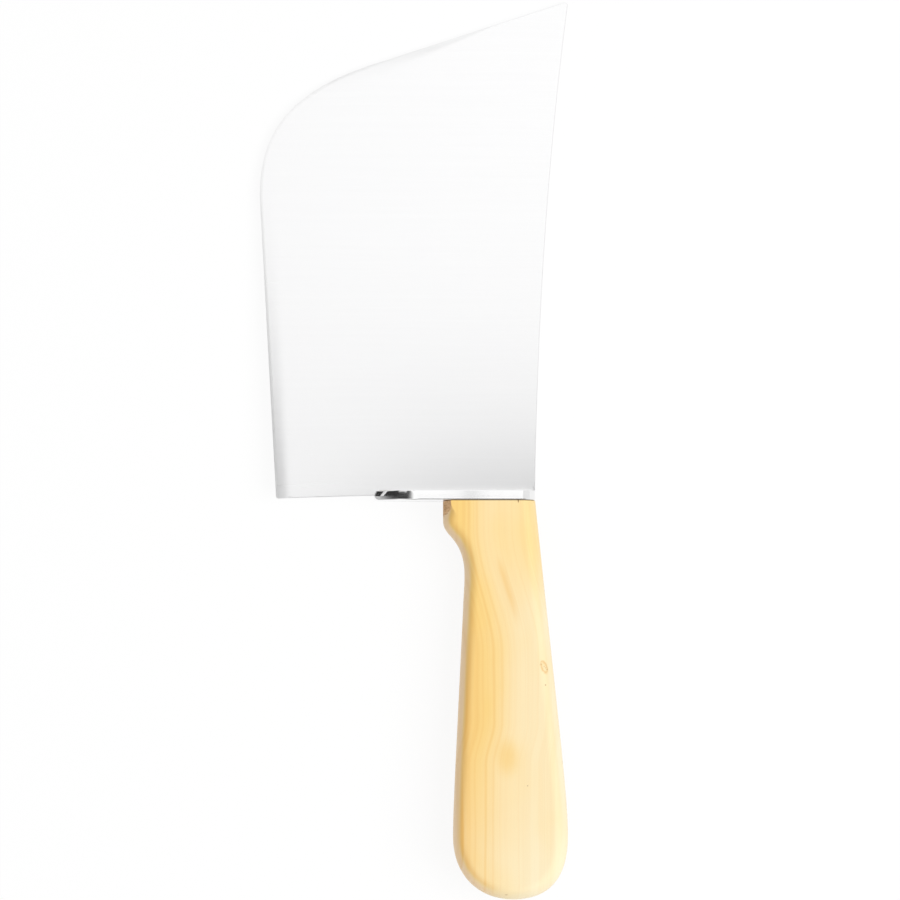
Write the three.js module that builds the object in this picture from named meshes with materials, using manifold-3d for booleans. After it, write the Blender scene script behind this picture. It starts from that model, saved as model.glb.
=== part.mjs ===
// Kitchen cleaver lying on its side.
//
// A wide steel blade with a hidden tang is brazed into a slotted steel bolster, and the tang is
// bedded in resin inside a one-piece boxwood handle.
//
// Millimetres. +X runs from the cutting edge to the spine, +Y from the butt to the tip, and +Z up,
// square to the blade. The pieces are drawn about the point where the back of the bolster meets the
// handle, in the blade's middle plane. The last lines move the origin to the middle of the
// footprint, level with the underside.

import * as THREE from 'three';
import { mergeVertices } from 'three/addons/utils/BufferGeometryUtils.js';
import Module from 'manifold-3d';

const wasm = await Module();
wasm.setup();

// Blade outline
const BLADE_REACH = 182.4; // tip above the top of the handle
const TIP_OVERHANG = 12.3; // tip behind the foot of the spine
const TIP_ROUNDING = 2.2; // length of each edge that the tip's rounding takes
const FRONT_SLOPE = 18; // fall of the front edge from the tip, degrees
const HEEL_DEPTH = 94; // heel corner in front of the foot of the spine
const HEEL_HEIGHT = 0.8; // heel corner above the top of the handle
const EDGE_LEAN = 3.2; // outward lean of the cutting edge, degrees
const BELLY_ON_FRONT = 46; // length of front edge that the belly curve takes
const BELLY_ON_EDGE = 37.8; // length of cutting edge that the belly curve takes
const BELLY_FULLNESS = 0.71; // 0 is a straight cut across the corner, 1 is nearly the sharp corner
const SPINE_BEND_HEIGHT = 99; // control point that draws the spine hollow, above the handle
const SPINE_BEND_OFFSET = 1.4; // and behind the foot of the spine

// Blade section
const SPINE_THICKNESS = 2.5; // at the bolster
const TIP_THICKNESS = 1.6;
const HEEL_THICKNESS = 1.3; // at the heel, where the flat ends
const ROLL_WIDTH = 4.5; // convex grind between the flat and the edge bevel
const SHOULDER_THICKNESS = 0.6; // behind the edge bevel
const BEVEL_WIDTH = 1.3;
const EDGE_LAND = 0.12; // width of the honed edge itself
const BEVEL_RUNOUT = 45; // length of front edge over which the grind fades
const EASING = 0.35; // broken corners of spine and front edge

// Tang
const TANG_WIDTH = 18;
const TANG_END_WIDTH = 10;
const TANG_THICKNESS = 2;
const TANG_END_THICKNESS = 1.6;
const TANG_ROOT = 6; // how far the tang runs up into the plate
const TANG_COVER = 46; // wood left between the tang's end and the butt

// Bolster
const BOLSTER_LENGTH = 58.5; // back to nose
const BOLSTER_HEIGHT = 3.6;
const BOLSTER_SEAT = 1.85; // level of the blade's root above the bolster's underside
const BOLSTER_EASING = 0.35;
const NOSE_CURVE = 15.5; // length of the curves that draw the sides in to the nose
const NOSE_PULL = 4.5; // control point of those curves, behind their lower ends
const NOSE_FACET = 1.7; // length of the slanting facets beside the blunt end
const NOSE_FLARE = 9.6; // width where the facets meet the curves
const NOSE_WIDTH = 7; // blunt end of the nose
const NOSE_DRAFT = 2; // lean of the nose from its foot back to its top

// Handle
const HANDLE_LENGTH = 144.2;
const HANDLE_THICKNESS = 20;
const TOP_WIDTH = 33.4;
const SHOULDER_DROP = 7.2; // straight front below the top corner
const SLANT_DROP = 15; // middle of the slant behind the shoulder
const SLANT_FRONT = 28.9; // front of the handle there
const SLANT_ANGLE = 35; // from the handle's length, degrees
const SLANT_PULL = 0.45; // share of the drop taken by the curve's control points
const GRIP_DROP = 36; // where the straight grip starts
const GRIP_FRONT = 26; // front of the handle there
const GRIP_SPREAD = 2.7; // widening of the front towards the butt, degrees
const GRIP_PULL = 0.58;
const WAIST_PULL = 0.36;
const BACK_SPREAD = 5.9; // widening of the back towards the butt, degrees
const BACK_PULL = 0.66;
const BUTT_HEIGHT = 22.7; // rounded end below the widest place
const BUTT_FRONT = 29.8; // widest place, in front of the bolster's back
const BUTT_BACK = 11.75; // widest place, behind the bolster's back
const BUTT_LOW = 8; // lowest point of the butt, in front of the bolster's back
const BUTT_APPROACH = 0.13; // share of the grip that bends into the widest place
const BUTT_FRONT_FULLNESS = 0.6;
const BUTT_BACK_FULLNESS = 0.66;
const ROUND_WIDTH = 5.4; // rounded edges, across the face
const ROUND_DEPTH = 7; // rounded edges, down the side
const FACET_WIDTH = 2.9; // steep facet on the front below the bolster, across the face
const FACET_DEPTH = 8; // and down the side
const FACET_HOLD = 0.12; // share of the shoulder before the facet turns into the round edge

// Joints
const JOINT_GAP = 0.2; // clear space between pieces that touch
const BRAZE_THICKNESS = 0.4;
const RESIN_THICKNESS = 1.2;
const OVERCUT = 1; // how far a cutting shape runs past the piece

// Steps along curves and round edges
const CURVE_STEPS = 20;
const SHORT_CURVE_STEPS = 6;
const LINE_STEPS = 10;
const NOSE_STEPS = 4; // few, so that the side the cleaver lies on ends in a clear corner
const ROUND_STEPS = 6;
const ROLL_STEPS = 4;
const QUARTER_PULL = 0.5523; // control points that draw a quarter ellipse
const SMOOTH_TURN = 0.2; // sine of the sharpest turn that still counts as a smooth curve

const { degToRad, lerp, smoothstep } = THREE.MathUtils;
const point = (x, y) => new THREE.Vector2(x, y);
const along = (from, direction, distance) => from.clone().addScaledVector(direction, distance);

// Direction at an angle in degrees from straight down, positive towards +X
const downwards = (angle) => point(Math.sin(degToRad(angle)), -Math.cos(degToRad(angle)));

// Where the line through a along u meets the line through b along v
function crossing(a, u, b, v) {
  const across = b.clone().sub(a);
  return along(a, u, across.cross(v) / u.cross(v));
}

const line = (from, to) => new THREE.LineCurve(from, to);
const bend = (from, control, to) => new THREE.QuadraticBezierCurve(from, control, to);
const sweep = (from, first, second, to) => new THREE.CubicBezierCurve(from, first, second, to);

// A closed anticlockwise outline from [label, curve, steps] sides. Every corner keeps the label and
// the share of the way along it, for the side before and the side after.
function outline(sides) {
  return sides.flatMap(([label, curve, steps], index) => {
    const previous = sides[(index + sides.length - 1) % sides.length][0];
    return Array.from({ length: steps }, (unused, step) => {
      const after = { label, share: step / steps };
      const before = step === 0 ? { label: previous, share: 1 } : after;
      return { at: curve.getPoint(step / steps), before, after };
    });
  });
}

// The outline moved inwards, by the distance that inset gives for a side
function insetOutline(corners, inset) {
  const inward = (from, to) => point(from.y - to.y, to.x - from.x).normalize();
  const count = corners.length;
  return corners.map(({ at, before, after }, index) => {
    const normalBefore = inward(corners[(index + count - 1) % count].at, at);
    const normalAfter = inward(at, corners[(index + 1) % count].at);
    const distanceBefore = inset(before);
    const distanceAfter = inset(after);
    const turn = normalBefore.cross(normalAfter);
    if (Math.abs(turn) < SMOOTH_TURN) {
      const middle = normalBefore.clone().add(normalAfter).normalize();
      return along(at, middle, (distanceBefore + distanceAfter) / 2 / middle.dot(normalAfter));
    }
    const shift = point(
      (distanceBefore * normalAfter.y - distanceAfter * normalBefore.y) / turn,
      (distanceAfter * normalBefore.x - distanceBefore * normalAfter.x) / turn,
    );
    return at.clone().add(shift);
  });
}

// A closed solid through loops of equal count, anticlockwise seen from the last one.
// flatten turns a loop's vertex into a plane point, for the two end caps.
function loft(loops, flatten) {
  const count = loops[0].length;
  const top = (loops.length - 1) * count;
  const triangles = [];
  for (let start = 0; start < top; start += count) {
    for (let index = 0; index < count; index += 1) {
      const low = start + index;
      const lowNext = start + ((index + 1) % count);
      triangles.push(low, lowNext, lowNext + count, low, lowNext + count, low + count);
    }
  }
  const cap = (loop) => THREE.ShapeUtils.triangulateShape(loop.map(flatten), []);
  cap(loops.at(0)).forEach(([a, b, c]) => triangles.push(c, b, a));
  cap(loops.at(-1)).forEach(([a, b, c]) => triangles.push(top + a, top + b, top + c));
  const geometry = new THREE.BufferGeometry().setFromPoints(loops.flat());
  geometry.setIndex(triangles);
  return solid(geometry);
}

const seenFromAbove = ({ x, y }) => point(x, y);
const seenFromTip = ({ x, z }) => point(z, x);
const seenFromSpine = ({ y, z }) => point(y, z);

// A solid for joining and cutting
function solid(geometry) {
  const merged = mergeVertices(geometry);
  const vertProperties = new Float32Array(merged.attributes.position.array);
  const triVerts = new Uint32Array(merged.index.array);
  return new wasm.Manifold(new wasm.Mesh({ numProp: 3, vertProperties, triVerts }));
}

// A named piece with its own material
function piece(name, body, finish) {
  const { vertProperties, triVerts } = body.getMesh();
  const geometry = new THREE.BufferGeometry();
  geometry.setAttribute('position', new THREE.Float32BufferAttribute(vertProperties, 3));
  geometry.setIndex(Array.from(triVerts));
  geometry.computeVertexNormals();
  const mesh = new THREE.Mesh(geometry, new THREE.MeshStandardMaterial(finish));
  mesh.name = name;
  return mesh;
}

// Blade outline, anticlockwise from the heel
const heel = point(-HEEL_DEPTH, HEEL_HEIGHT);
const rootStart = point(-BOLSTER_LENGTH, BOLSTER_SEAT);
const spineFoot = point(0, BOLSTER_SEAT);
const spineBend = point(SPINE_BEND_OFFSET, SPINE_BEND_HEIGHT);
const tip = point(TIP_OVERHANG, BLADE_REACH);
const downEdge = downwards(EDGE_LEAN);
const upFront = downwards(90 + FRONT_SLOPE);
const downSpine = spineBend.clone().sub(tip).normalize();
const tipOnSpine = along(tip, downSpine, TIP_ROUNDING);
const tipOnFront = along(tip, upFront, -TIP_ROUNDING);
const bellyCorner = crossing(heel, downEdge, tip, upFront);
const bellyOnFront = along(bellyCorner, upFront, BELLY_ON_FRONT);
const bellyOnEdge = along(bellyCorner, downEdge, BELLY_ON_EDGE);
const runoutStart = along(bellyOnFront, upFront, BEVEL_RUNOUT);
const bellyFrontPull = along(bellyOnFront, upFront, -BELLY_FULLNESS * BELLY_ON_FRONT);
const bellyEdgePull = along(bellyOnEdge, downEdge, -BELLY_FULLNESS * BELLY_ON_EDGE);

const bladeOutline = outline([
  ['heel', line(heel, rootStart), 1],
  ['root', line(rootStart, spineFoot), 1],
  ['spine', bend(spineFoot, spineBend, tipOnSpine), CURVE_STEPS],
  ['tip', bend(tipOnSpine, tip, tipOnFront), SHORT_CURVE_STEPS],
  ['front', line(tipOnFront, runoutStart), 1],
  ['runout', line(runoutStart, bellyOnFront), 1],
  ['belly', sweep(bellyOnFront, bellyFrontPull, bellyEdgePull, bellyOnEdge), CURVE_STEPS],
  ['edge', line(bellyOnEdge, heel), 1],
]);

// Half thickness of the blade's flat sides, a plane through three known thicknesses
const flatSide = new THREE.Plane().setFromCoplanarPoints(
  new THREE.Vector3(spineFoot.x, spineFoot.y, SPINE_THICKNESS / 2),
  new THREE.Vector3(tip.x, tip.y, TIP_THICKNESS / 2),
  new THREE.Vector3(heel.x + BEVEL_WIDTH + ROLL_WIDTH, heel.y, HEEL_THICKNESS / 2),
);

function flatHeight({ x, y }) {
  const { normal, constant } = flatSide;
  return -(normal.x * x + normal.y * y + constant) / normal.z;
}

// How far a side is ground to an edge: 1 is sharp, 0 is square with eased corners
function sharpness({ label, share }) {
  if (label === 'edge' || label === 'belly') return 1;
  return label === 'runout' ? share : 0;
}

const isSquareCut = ({ label }) => label === 'heel' || label === 'root';

// The blade's section runs from the middle of the edge, level 0, to the flat side, the last level
const lastLevel = ROLL_STEPS + 1;

function bladeInset(side, level) {
  if (isSquareCut(side) || level === 0) return 0;
  const ground = BEVEL_WIDTH + (ROLL_WIDTH * (level - 1)) / ROLL_STEPS;
  const eased = (EASING * level) / lastLevel;
  return lerp(eased, ground, sharpness(side));
}

function bladeHeight({ before, after }, at, level) {
  const flat = flatHeight(at);
  if (isSquareCut(before) && isSquareCut(after)) return (flat * (level + 1)) / (lastLevel + 1);
  const side = isSquareCut(after) ? before : after;
  const shoulder = SHOULDER_THICKNESS / 2;
  const roll = Math.sin((Math.PI / 2) * ((level - 1) / ROLL_STEPS));
  const ground = level === 0 ? EDGE_LAND / 2 : lerp(shoulder, flat, roll);
  const eased = flat - EASING * (1 - level / lastLevel);
  return lerp(eased, ground, sharpness(side));
}

function bladePlate() {
  const loop = (level, face) =>
    insetOutline(bladeOutline, (side) => bladeInset(side, level)).map(
      (at, index) =>
        new THREE.Vector3(at.x, at.y, face * bladeHeight(bladeOutline[index], at, level)),
    );
  const levels = Array.from({ length: lastLevel + 1 }, (unused, level) => level);
  const lower = levels.map((level) => loop(level, -1)).reverse();
  const upper = levels.map((level) => loop(level, 1));
  return loft([...lower, ...upper], seenFromAbove);
}

// The tang's section at a level on Y, grown all round. It follows the middle of the handle.
const tangLength = HANDLE_LENGTH - TANG_COVER;
const backLength = HANDLE_LENGTH - BUTT_HEIGHT;

function tangLoop(level, growth) {
  const down = -level / tangLength;
  const gripDown = -level / backLength;
  const centre = lerp(-TOP_WIDTH / 2, (BUTT_BACK - BUTT_FRONT) / 2, gripDown);
  const halfWidth = lerp(TANG_WIDTH, TANG_END_WIDTH, down) / 2 + growth;
  const halfHeight = lerp(TANG_THICKNESS, TANG_END_THICKNESS, down) / 2 + growth;
  return [[-1, -1], [-1, 1], [1, 1], [1, -1]].map(
    ([side, face]) =>
      new THREE.Vector3(centre + side * halfWidth, level, face * halfHeight),
  );
}

const tangBar = (low, high, growth) =>
  loft([tangLoop(low, growth), tangLoop(high, growth)], seenFromTip);

const blade = bladePlate().add(tangBar(-tangLength, BOLSTER_SEAT + TANG_ROOT, 0));

// A block round the blade's root, clear of it on both sides and below
function rootBlock(front, back, high, clearance) {
  const low = BOLSTER_SEAT - clearance;
  const loop = (x) => {
    const halfWidth = flatHeight(point(x, BOLSTER_SEAT)) + clearance;
    return [[low, -1], [high, -1], [high, 1], [low, 1]].map(
      ([level, face]) => new THREE.Vector3(x, level, face * halfWidth),
    );
  };
  return loft([loop(front), loop(back)], seenFromSpine);
}

// Bolster: outlines seen from the tip, from the blunt nose round to the back and home again
const halfThickness = HANDLE_THICKNESS / 2;
const roundDepth = Math.min(ROUND_DEPTH, halfThickness - EASING);

function bolsterOutline(nose) {
  const half = (face) => ({
    blunt: point((face * NOSE_WIDTH) / 2, nose),
    flare: point((face * NOSE_FLARE) / 2, nose + NOSE_FACET),
    pull: point(face * halfThickness, nose + NOSE_FACET + NOSE_PULL),
    side: point(face * halfThickness, nose + NOSE_FACET + NOSE_CURVE),
    corner: point(face * halfThickness, 0),
    cornerFront: point(face * halfThickness, -ROUND_WIDTH),
    cornerBack: point(face * (halfThickness - roundDepth), 0),
  });
  const right = half(1);
  const left = half(-1);
  const round = (from, corner, to) =>
    sweep(from, from.clone().lerp(corner, QUARTER_PULL), to.clone().lerp(corner, QUARTER_PULL), to);
  return outline([
    ['nose', line(left.blunt, right.blunt), 1],
    ['facet', line(right.blunt, right.flare), 1],
    ['curve', bend(right.flare, right.pull, right.side), NOSE_STEPS],
    ['side', line(right.side, right.cornerFront), 1],
    ['corner', round(right.cornerFront, right.corner, right.cornerBack), ROUND_STEPS],
    ['back', line(right.cornerBack, left.cornerBack), 1],
    ['corner', round(left.cornerBack, left.corner, left.cornerFront), ROUND_STEPS],
    ['side', line(left.cornerFront, left.side), 1],
    ['curve', bend(left.side, left.pull, left.flare), NOSE_STEPS],
    ['facet', line(left.flare, left.blunt), 1],
  ]);
}

function bolsterBlock() {
  const loop = (level, easing) => {
    const nose = -BOLSTER_LENGTH + (NOSE_DRAFT * level) / BOLSTER_HEIGHT;
    return insetOutline(bolsterOutline(nose), () => easing).map(
      (at) => new THREE.Vector3(at.y, level, at.x),
    );
  };
  return loft(
    [
      loop(0, BOLSTER_EASING),
      loop(BOLSTER_EASING, 0),
      loop(BOLSTER_HEIGHT - BOLSTER_EASING, 0),
      loop(BOLSTER_HEIGHT, BOLSTER_EASING),
    ],
    seenFromTip,
  );
}

const seatClearance = BRAZE_THICKNESS + 2 * JOINT_GAP;
const pastNose = -BOLSTER_LENGTH - OVERCUT;
const pastTop = BOLSTER_HEIGHT + OVERCUT;
const bladeSlot = rootBlock(pastNose, OVERCUT, pastTop, seatClearance);
const tangHole = tangBar(-OVERCUT, pastTop, JOINT_GAP);
const bolster = bolsterBlock().subtract(bladeSlot).subtract(tangHole);

// Braze: a channel under and beside the blade's root, open for the tang
const brazeFront = -BOLSTER_LENGTH + NOSE_DRAFT + BOLSTER_EASING;
const brazeBack = -BOLSTER_EASING;
const brazeSeam = rootBlock(brazeFront, brazeBack, BOLSTER_HEIGHT, BRAZE_THICKNESS + JOINT_GAP)
  .subtract(rootBlock(pastNose, OVERCUT, pastTop, JOINT_GAP))
  .subtract(tangHole);

// Handle outline, anticlockwise from the back of its top
const handleTop = -JOINT_GAP;
const topBack = point(0, handleTop);
const topFront = point(-TOP_WIDTH, handleTop);
const shoulder = point(-TOP_WIDTH, -SHOULDER_DROP);
const slant = point(-SLANT_FRONT, -SLANT_DROP);
const grip = point(-GRIP_FRONT, -GRIP_DROP);
const buttFront = point(-BUTT_FRONT, -backLength);
const buttLow = point(-BUTT_LOW, -HANDLE_LENGTH);
const buttBack = point(BUTT_BACK, -backLength);
const down = downwards(0);
const downSlant = downwards(SLANT_ANGLE);
const downGrip = downwards(-GRIP_SPREAD);
const downBack = downwards(BACK_SPREAD);
const shoulderPull = SLANT_PULL * (SLANT_DROP - SHOULDER_DROP);
const waistPull = WAIST_PULL * (GRIP_DROP - SLANT_DROP);
const gripLength = backLength - GRIP_DROP;

const handleOutline = outline([
  ['top', line(topBack, topFront), 1],
  ['shoulder', line(topFront, shoulder), SHORT_CURVE_STEPS],
  [
    'front',
    sweep(shoulder, along(shoulder, down, shoulderPull), along(slant, downSlant, -shoulderPull), slant),
    SHORT_CURVE_STEPS,
  ],
  [
    'front',
    sweep(slant, along(slant, downSlant, waistPull), along(grip, downGrip, -waistPull), grip),
    LINE_STEPS,
  ],
  [
    'front',
    sweep(
      grip,
      along(grip, downGrip, GRIP_PULL * gripLength),
      along(buttFront, down, -BUTT_APPROACH * gripLength),
      buttFront,
    ),
    LINE_STEPS,
  ],
  [
    'butt',
    sweep(
      buttFront,
      along(buttFront, down, BUTT_FRONT_FULLNESS * BUTT_HEIGHT),
      point(lerp(-BUTT_LOW, -BUTT_FRONT, BUTT_FRONT_FULLNESS), -HANDLE_LENGTH),
      buttLow,
    ),
    CURVE_STEPS,
  ],
  [
    'butt',
    sweep(
      buttLow,
      point(lerp(-BUTT_LOW, BUTT_BACK, BUTT_BACK_FULLNESS), -HANDLE_LENGTH),
      along(buttBack, down, BUTT_BACK_FULLNESS * BUTT_HEIGHT),
      buttBack,
    ),
    CURVE_STEPS,
  ],
  [
    'back',
    sweep(
      buttBack,
      along(buttBack, down, -BUTT_APPROACH * backLength),
      along(topBack, downBack, BACK_PULL * backLength),
      topBack,
    ),
    LINE_STEPS,
  ],
]);

// How far an edge is a steep facet instead of a round: all of it at the top of the shoulder
const facetShare = ({ label, share }) =>
  label === 'shoulder' ? 1 - smoothstep(share, FACET_HOLD, 1) : 0;

// The handle's section runs from the straight side, level 0, to the flat face, the last level
function handleInset(side, level) {
  if (side.label === 'top') return 0;
  const turn = ((Math.PI / 2) * level) / ROUND_STEPS;
  const round = ROUND_WIDTH * (1 - Math.cos(turn));
  return lerp(round, (FACET_WIDTH * level) / ROUND_STEPS, facetShare(side));
}

function handleHeight(side, level) {
  const facetDepth = Math.min(FACET_DEPTH, halfThickness - EASING);
  const turn = ((Math.PI / 2) * level) / ROUND_STEPS;
  const round = halfThickness - roundDepth * (1 - Math.sin(turn));
  const facet = halfThickness - facetDepth * (1 - level / ROUND_STEPS);
  return lerp(round, facet, facetShare(side));
}

function handleBlock() {
  const loop = (level, face) =>
    insetOutline(handleOutline, (side) => handleInset(side, level)).map(
      (at, index) =>
        new THREE.Vector3(at.x, at.y, face * handleHeight(handleOutline[index].after, level)),
    );
  const levels = Array.from({ length: ROUND_STEPS + 1 }, (unused, level) => level);
  const lower = levels.map((level) => loop(level, -1)).reverse();
  const upper = levels.map((level) => loop(level, 1));
  return loft([...lower, ...upper], seenFromAbove);
}

const socketClearance = RESIN_THICKNESS + 2 * JOINT_GAP;
const socket = tangBar(-tangLength - socketClearance, OVERCUT, socketClearance);
const handle = handleBlock().subtract(socket);

// Resin: a cup that fills the socket round the tang
const resinOutside = RESIN_THICKNESS + JOINT_GAP;
const tangResin = tangBar(-tangLength - resinOutside, handleTop, resinOutside).subtract(
  tangBar(-tangLength - JOINT_GAP, OVERCUT, JOINT_GAP),
);

const cleaver = new THREE.Group();
cleaver.name = 'cleaver';
cleaver.add(
  piece('blade', blade, { color: '#d8d9da', roughness: 0.34, metalness: 1 }),
  piece('bolster', bolster, { color: '#e2e2e1', roughness: 0.1, metalness: 1 }),
  piece('braze_seam', brazeSeam, { color: '#b9b3a4', roughness: 0.3, metalness: 1 }),
  piece('handle', handle, { color: '#f0d391', roughness: 0.45, metalness: 0 }),
  piece('tang_resin', tangResin, { color: '#3a2c1e', roughness: 0.5, metalness: 0 }),
);

// The origin goes to the middle of the footprint, level with the underside
const extent = new THREE.Box3().setFromObject(cleaver);
const middle = extent.getCenter(new THREE.Vector3());
cleaver.position.set(-middle.x, -middle.y, -extent.min.z);

export default cleaver;
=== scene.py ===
"""Kitchen cleaver lying on its side on a white studio floor.

The blade, bolster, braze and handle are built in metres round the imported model, in its own frame.
The pieces are drawn about the point where the back of the bolster meets the handle, in the blade's
middle plane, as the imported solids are, and are then moved to their place.
"""

import math
from collections import namedtuple

import bmesh
import bpy
from bpy.props import FloatProperty, FloatVectorProperty, PointerProperty
from mathutils import Matrix, Vector


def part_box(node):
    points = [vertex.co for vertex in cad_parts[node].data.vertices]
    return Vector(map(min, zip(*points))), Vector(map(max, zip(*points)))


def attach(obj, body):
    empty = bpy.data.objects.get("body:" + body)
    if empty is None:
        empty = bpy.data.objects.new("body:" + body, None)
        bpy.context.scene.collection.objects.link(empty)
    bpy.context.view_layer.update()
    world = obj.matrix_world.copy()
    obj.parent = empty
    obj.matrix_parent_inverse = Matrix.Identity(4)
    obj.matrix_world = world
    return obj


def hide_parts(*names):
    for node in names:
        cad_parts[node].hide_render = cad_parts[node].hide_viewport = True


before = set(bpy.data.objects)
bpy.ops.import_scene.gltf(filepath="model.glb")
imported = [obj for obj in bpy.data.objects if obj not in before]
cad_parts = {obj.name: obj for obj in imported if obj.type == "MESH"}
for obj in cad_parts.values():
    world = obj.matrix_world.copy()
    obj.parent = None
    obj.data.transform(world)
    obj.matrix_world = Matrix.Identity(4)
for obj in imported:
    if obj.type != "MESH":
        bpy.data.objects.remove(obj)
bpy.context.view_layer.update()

bl_info = {
    "name": "Kitchen Cleaver",
    "version": (1, 0, 0),
    "blender": (4, 5, 0),
    "location": "3D View > Sidebar > Cleaver",
    "description": "Builds a kitchen cleaver round its packed model and lights it in a white studio",
    "category": "Object",
}

MM = 0.001
QUARTER = math.pi / 2

blade_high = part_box("blade")[1]
bolster_low, bolster_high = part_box("bolster")
handle_low, handle_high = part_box("handle")

# Back of the bolster, level of its underside, middle of the blade
DATUM = Vector((bolster_high.x, bolster_low.y, (handle_low.z + handle_high.z) / 2))

# Steps along curves and round edges
SPINE_STEPS = 48
TIP_STEPS = 12
RUNOUT_STEPS = 16
BELLY_STEPS = 96
EDGE_STEPS = 100
ROLL_RINGS = 12
NOSE_STEPS = 32
ROUND_STEPS = 10
CORNER_STEPS = 24
EASING_STEPS = 14
FOOT_STEPS = 10
SHOULDER_STEPS = 14  # each longer than SUPPORT, so that the rings inside the face don't fold
HANDLE_STEPS = 48
ROUND_RINGS = 24
MENISCUS_STEPS = 8

QUARTER_PULL = 0.5523  # control points that draw a quarter ellipse
SMOOTH_TURN = 0.2  # sine of the sharpest turn that still counts as a smooth curve
SUPPORT = 0.4 * MM  # width of the ring that keeps a flat face flat beside its round edge
OVERCUT = 1 * MM  # how far a cutting shape runs past the piece
CURVE_CLEARANCE = 0.02 * MM  # how far outside a piece a cutting curve starts, so that it crosses the surface
CRISP_ANGLE = math.radians(30)
BOLSTER_CRISP_ANGLE = math.radians(8.5)  # the nose's facets meet its curves at a small angle
HONED_FROM = 0.2  # share of the belly, from the front edge, that is ground but not honed
HONED_BANDS = 2  # the land of the edge and the bevel
MERGE_DISTANCE = 0.001 * MM


def length(name, description, millimetres):
    """A length that a user may change, given in millimetres."""
    settings = {"subtype": "DISTANCE", "unit": "LENGTH", "precision": 5}
    return FloatProperty(name=name, description=description, default=millimetres * MM, **settings)


def angle(name, description, degrees):
    """An angle that a user may change, given in degrees."""
    settings = {"subtype": "ANGLE", "unit": "ROTATION"}
    return FloatProperty(name=name, description=description, default=math.radians(degrees), **settings)


def share(name, description, default):
    """A share from 0 to 1 that a user may change."""
    return FloatProperty(name=name, description=description, default=default, min=0, max=1, subtype="FACTOR")


def amount(name, description, default):
    """A plain number that a user may change."""
    return FloatProperty(name=name, description=description, default=default, min=0)


def colour(name, description, red, green, blue):
    """A linear colour that a user may change."""
    settings = {"size": 4, "min": 0, "max": 1, "subtype": "COLOR"}
    return FloatVectorProperty(name=name, description=description, default=(red, green, blue, 1), **settings)


class CleaverBladeSettings(bpy.types.PropertyGroup):
    """Sizes of the blade and its hidden tang."""

    reach: length("Reach", "Tip above the top of the handle", 182.4)
    tip_overhang: length("Tip overhang", "Tip behind the foot of the spine", 12.3)
    tip_rounding: length("Tip rounding", "Length of each edge that the tip's rounding takes", 2.2)
    front_slope: angle("Front slope", "Fall of the front edge from the tip", 18)
    heel_depth: length("Heel depth", "Heel corner in front of the foot of the spine", 94)
    heel_height: length("Heel height", "Heel corner above the top of the handle", 0.8)
    heel_rounding: length("Heel rounding", "Length of each edge that the curve round the heel spans", 1.1)
    edge_lean: angle("Edge lean", "Outward lean of the cutting edge", 3.2)
    belly_on_front: length("Belly on front", "Length of front edge that the belly curve takes", 46)
    belly_on_edge: length("Belly on edge", "Length of cutting edge that the belly curve takes", 37.8)
    belly_fullness: share("Belly fullness", "0 cuts straight across the corner", 0.71)
    spine_bend_height: length("Spine bend height", "Point that draws the spine hollow, above the handle", 99)
    spine_bend_offset: length("Spine bend offset", "The same point behind the foot of the spine", 1.4)
    spine_thickness: length("Spine thickness", "At the bolster", 2.5)
    tip_thickness: length("Tip thickness", "At the tip", 1.6)
    heel_thickness: length("Heel thickness", "At the heel, where the flat ends", 1.3)
    roll_width: length("Roll width", "Convex grind between the flat and the edge bevel", 5.1)
    shoulder_thickness: length("Shoulder thickness", "Behind the edge bevel", 0.38)
    bevel_width: length("Bevel width", "Honed bevel along the cutting edge", 0.7)
    edge_land: length("Edge land", "Width of the honed edge itself", 0.12)
    bevel_runout: length("Bevel runout", "Length of front edge over which the grind fades", 45)
    easing: length("Easing", "Rounded corners of spine and front edge", 0.35)
    tang_width: length("Tang width", "At the bolster", 18)
    tang_end_width: length("Tang end width", "Inside the handle", 10)
    tang_thickness: length("Tang thickness", "At the bolster", 2)
    tang_end_thickness: length("Tang end thickness", "Inside the handle", 1.6)
    tang_root: length("Tang root", "How far the tang runs up into the plate", 6)
    tang_cover: length("Tang cover", "Wood left between the tang's end and the butt", 46)


class CleaverBolsterSettings(bpy.types.PropertyGroup):
    """Sizes of the bolster and of the braze in its slot."""

    length: length("Length", "Back to nose", 58.5)
    height: length("Height", "Along the cleaver", (bolster_high.y - bolster_low.y) / MM)
    seat: length("Seat", "Level of the blade's root above the bolster's underside", 1.85)
    easing: length("Easing", "Rounded edges all round", 0.35)
    nose_curve: length("Nose curve", "Length of the curves that draw the sides in to the nose", 14.5)
    nose_pull: length("Nose pull", "Control point of those curves, behind their lower ends", 6.4)
    nose_facet: length("Nose facet", "Length of the slanting facets beside the blunt end", 2.3)
    nose_flare: length("Nose flare", "Width where the facets meet the curves", 9.6)
    nose_width: length("Nose width", "Blunt end of the nose", 7.5)
    nose_round: length("Nose round", "Rounded corners of the blunt end, shorter than a facet's foot", 1)
    nose_draft: length("Nose draft", "Lean of the blunt end from its foot back to its top", 0.9)
    flare_draft: length("Flare draft", "Lean of the facets' rear edges", 1.6)
    nose_foot: length("Nose foot", "Rounding of the nose's lower end", 1.6)
    slot_clearance: length("Slot clearance", "Room round the blade's root, filled with braze", 0.8)
    joint_gap: length("Joint gap", "Clear space round the tang", 0.2)
    braze_play: length("Braze play", "Space left between the braze and its neighbours", 0.02)
    braze_rise: length("Braze rise", "How far the braze climbs the blade above the bolster", 0.3)


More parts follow.
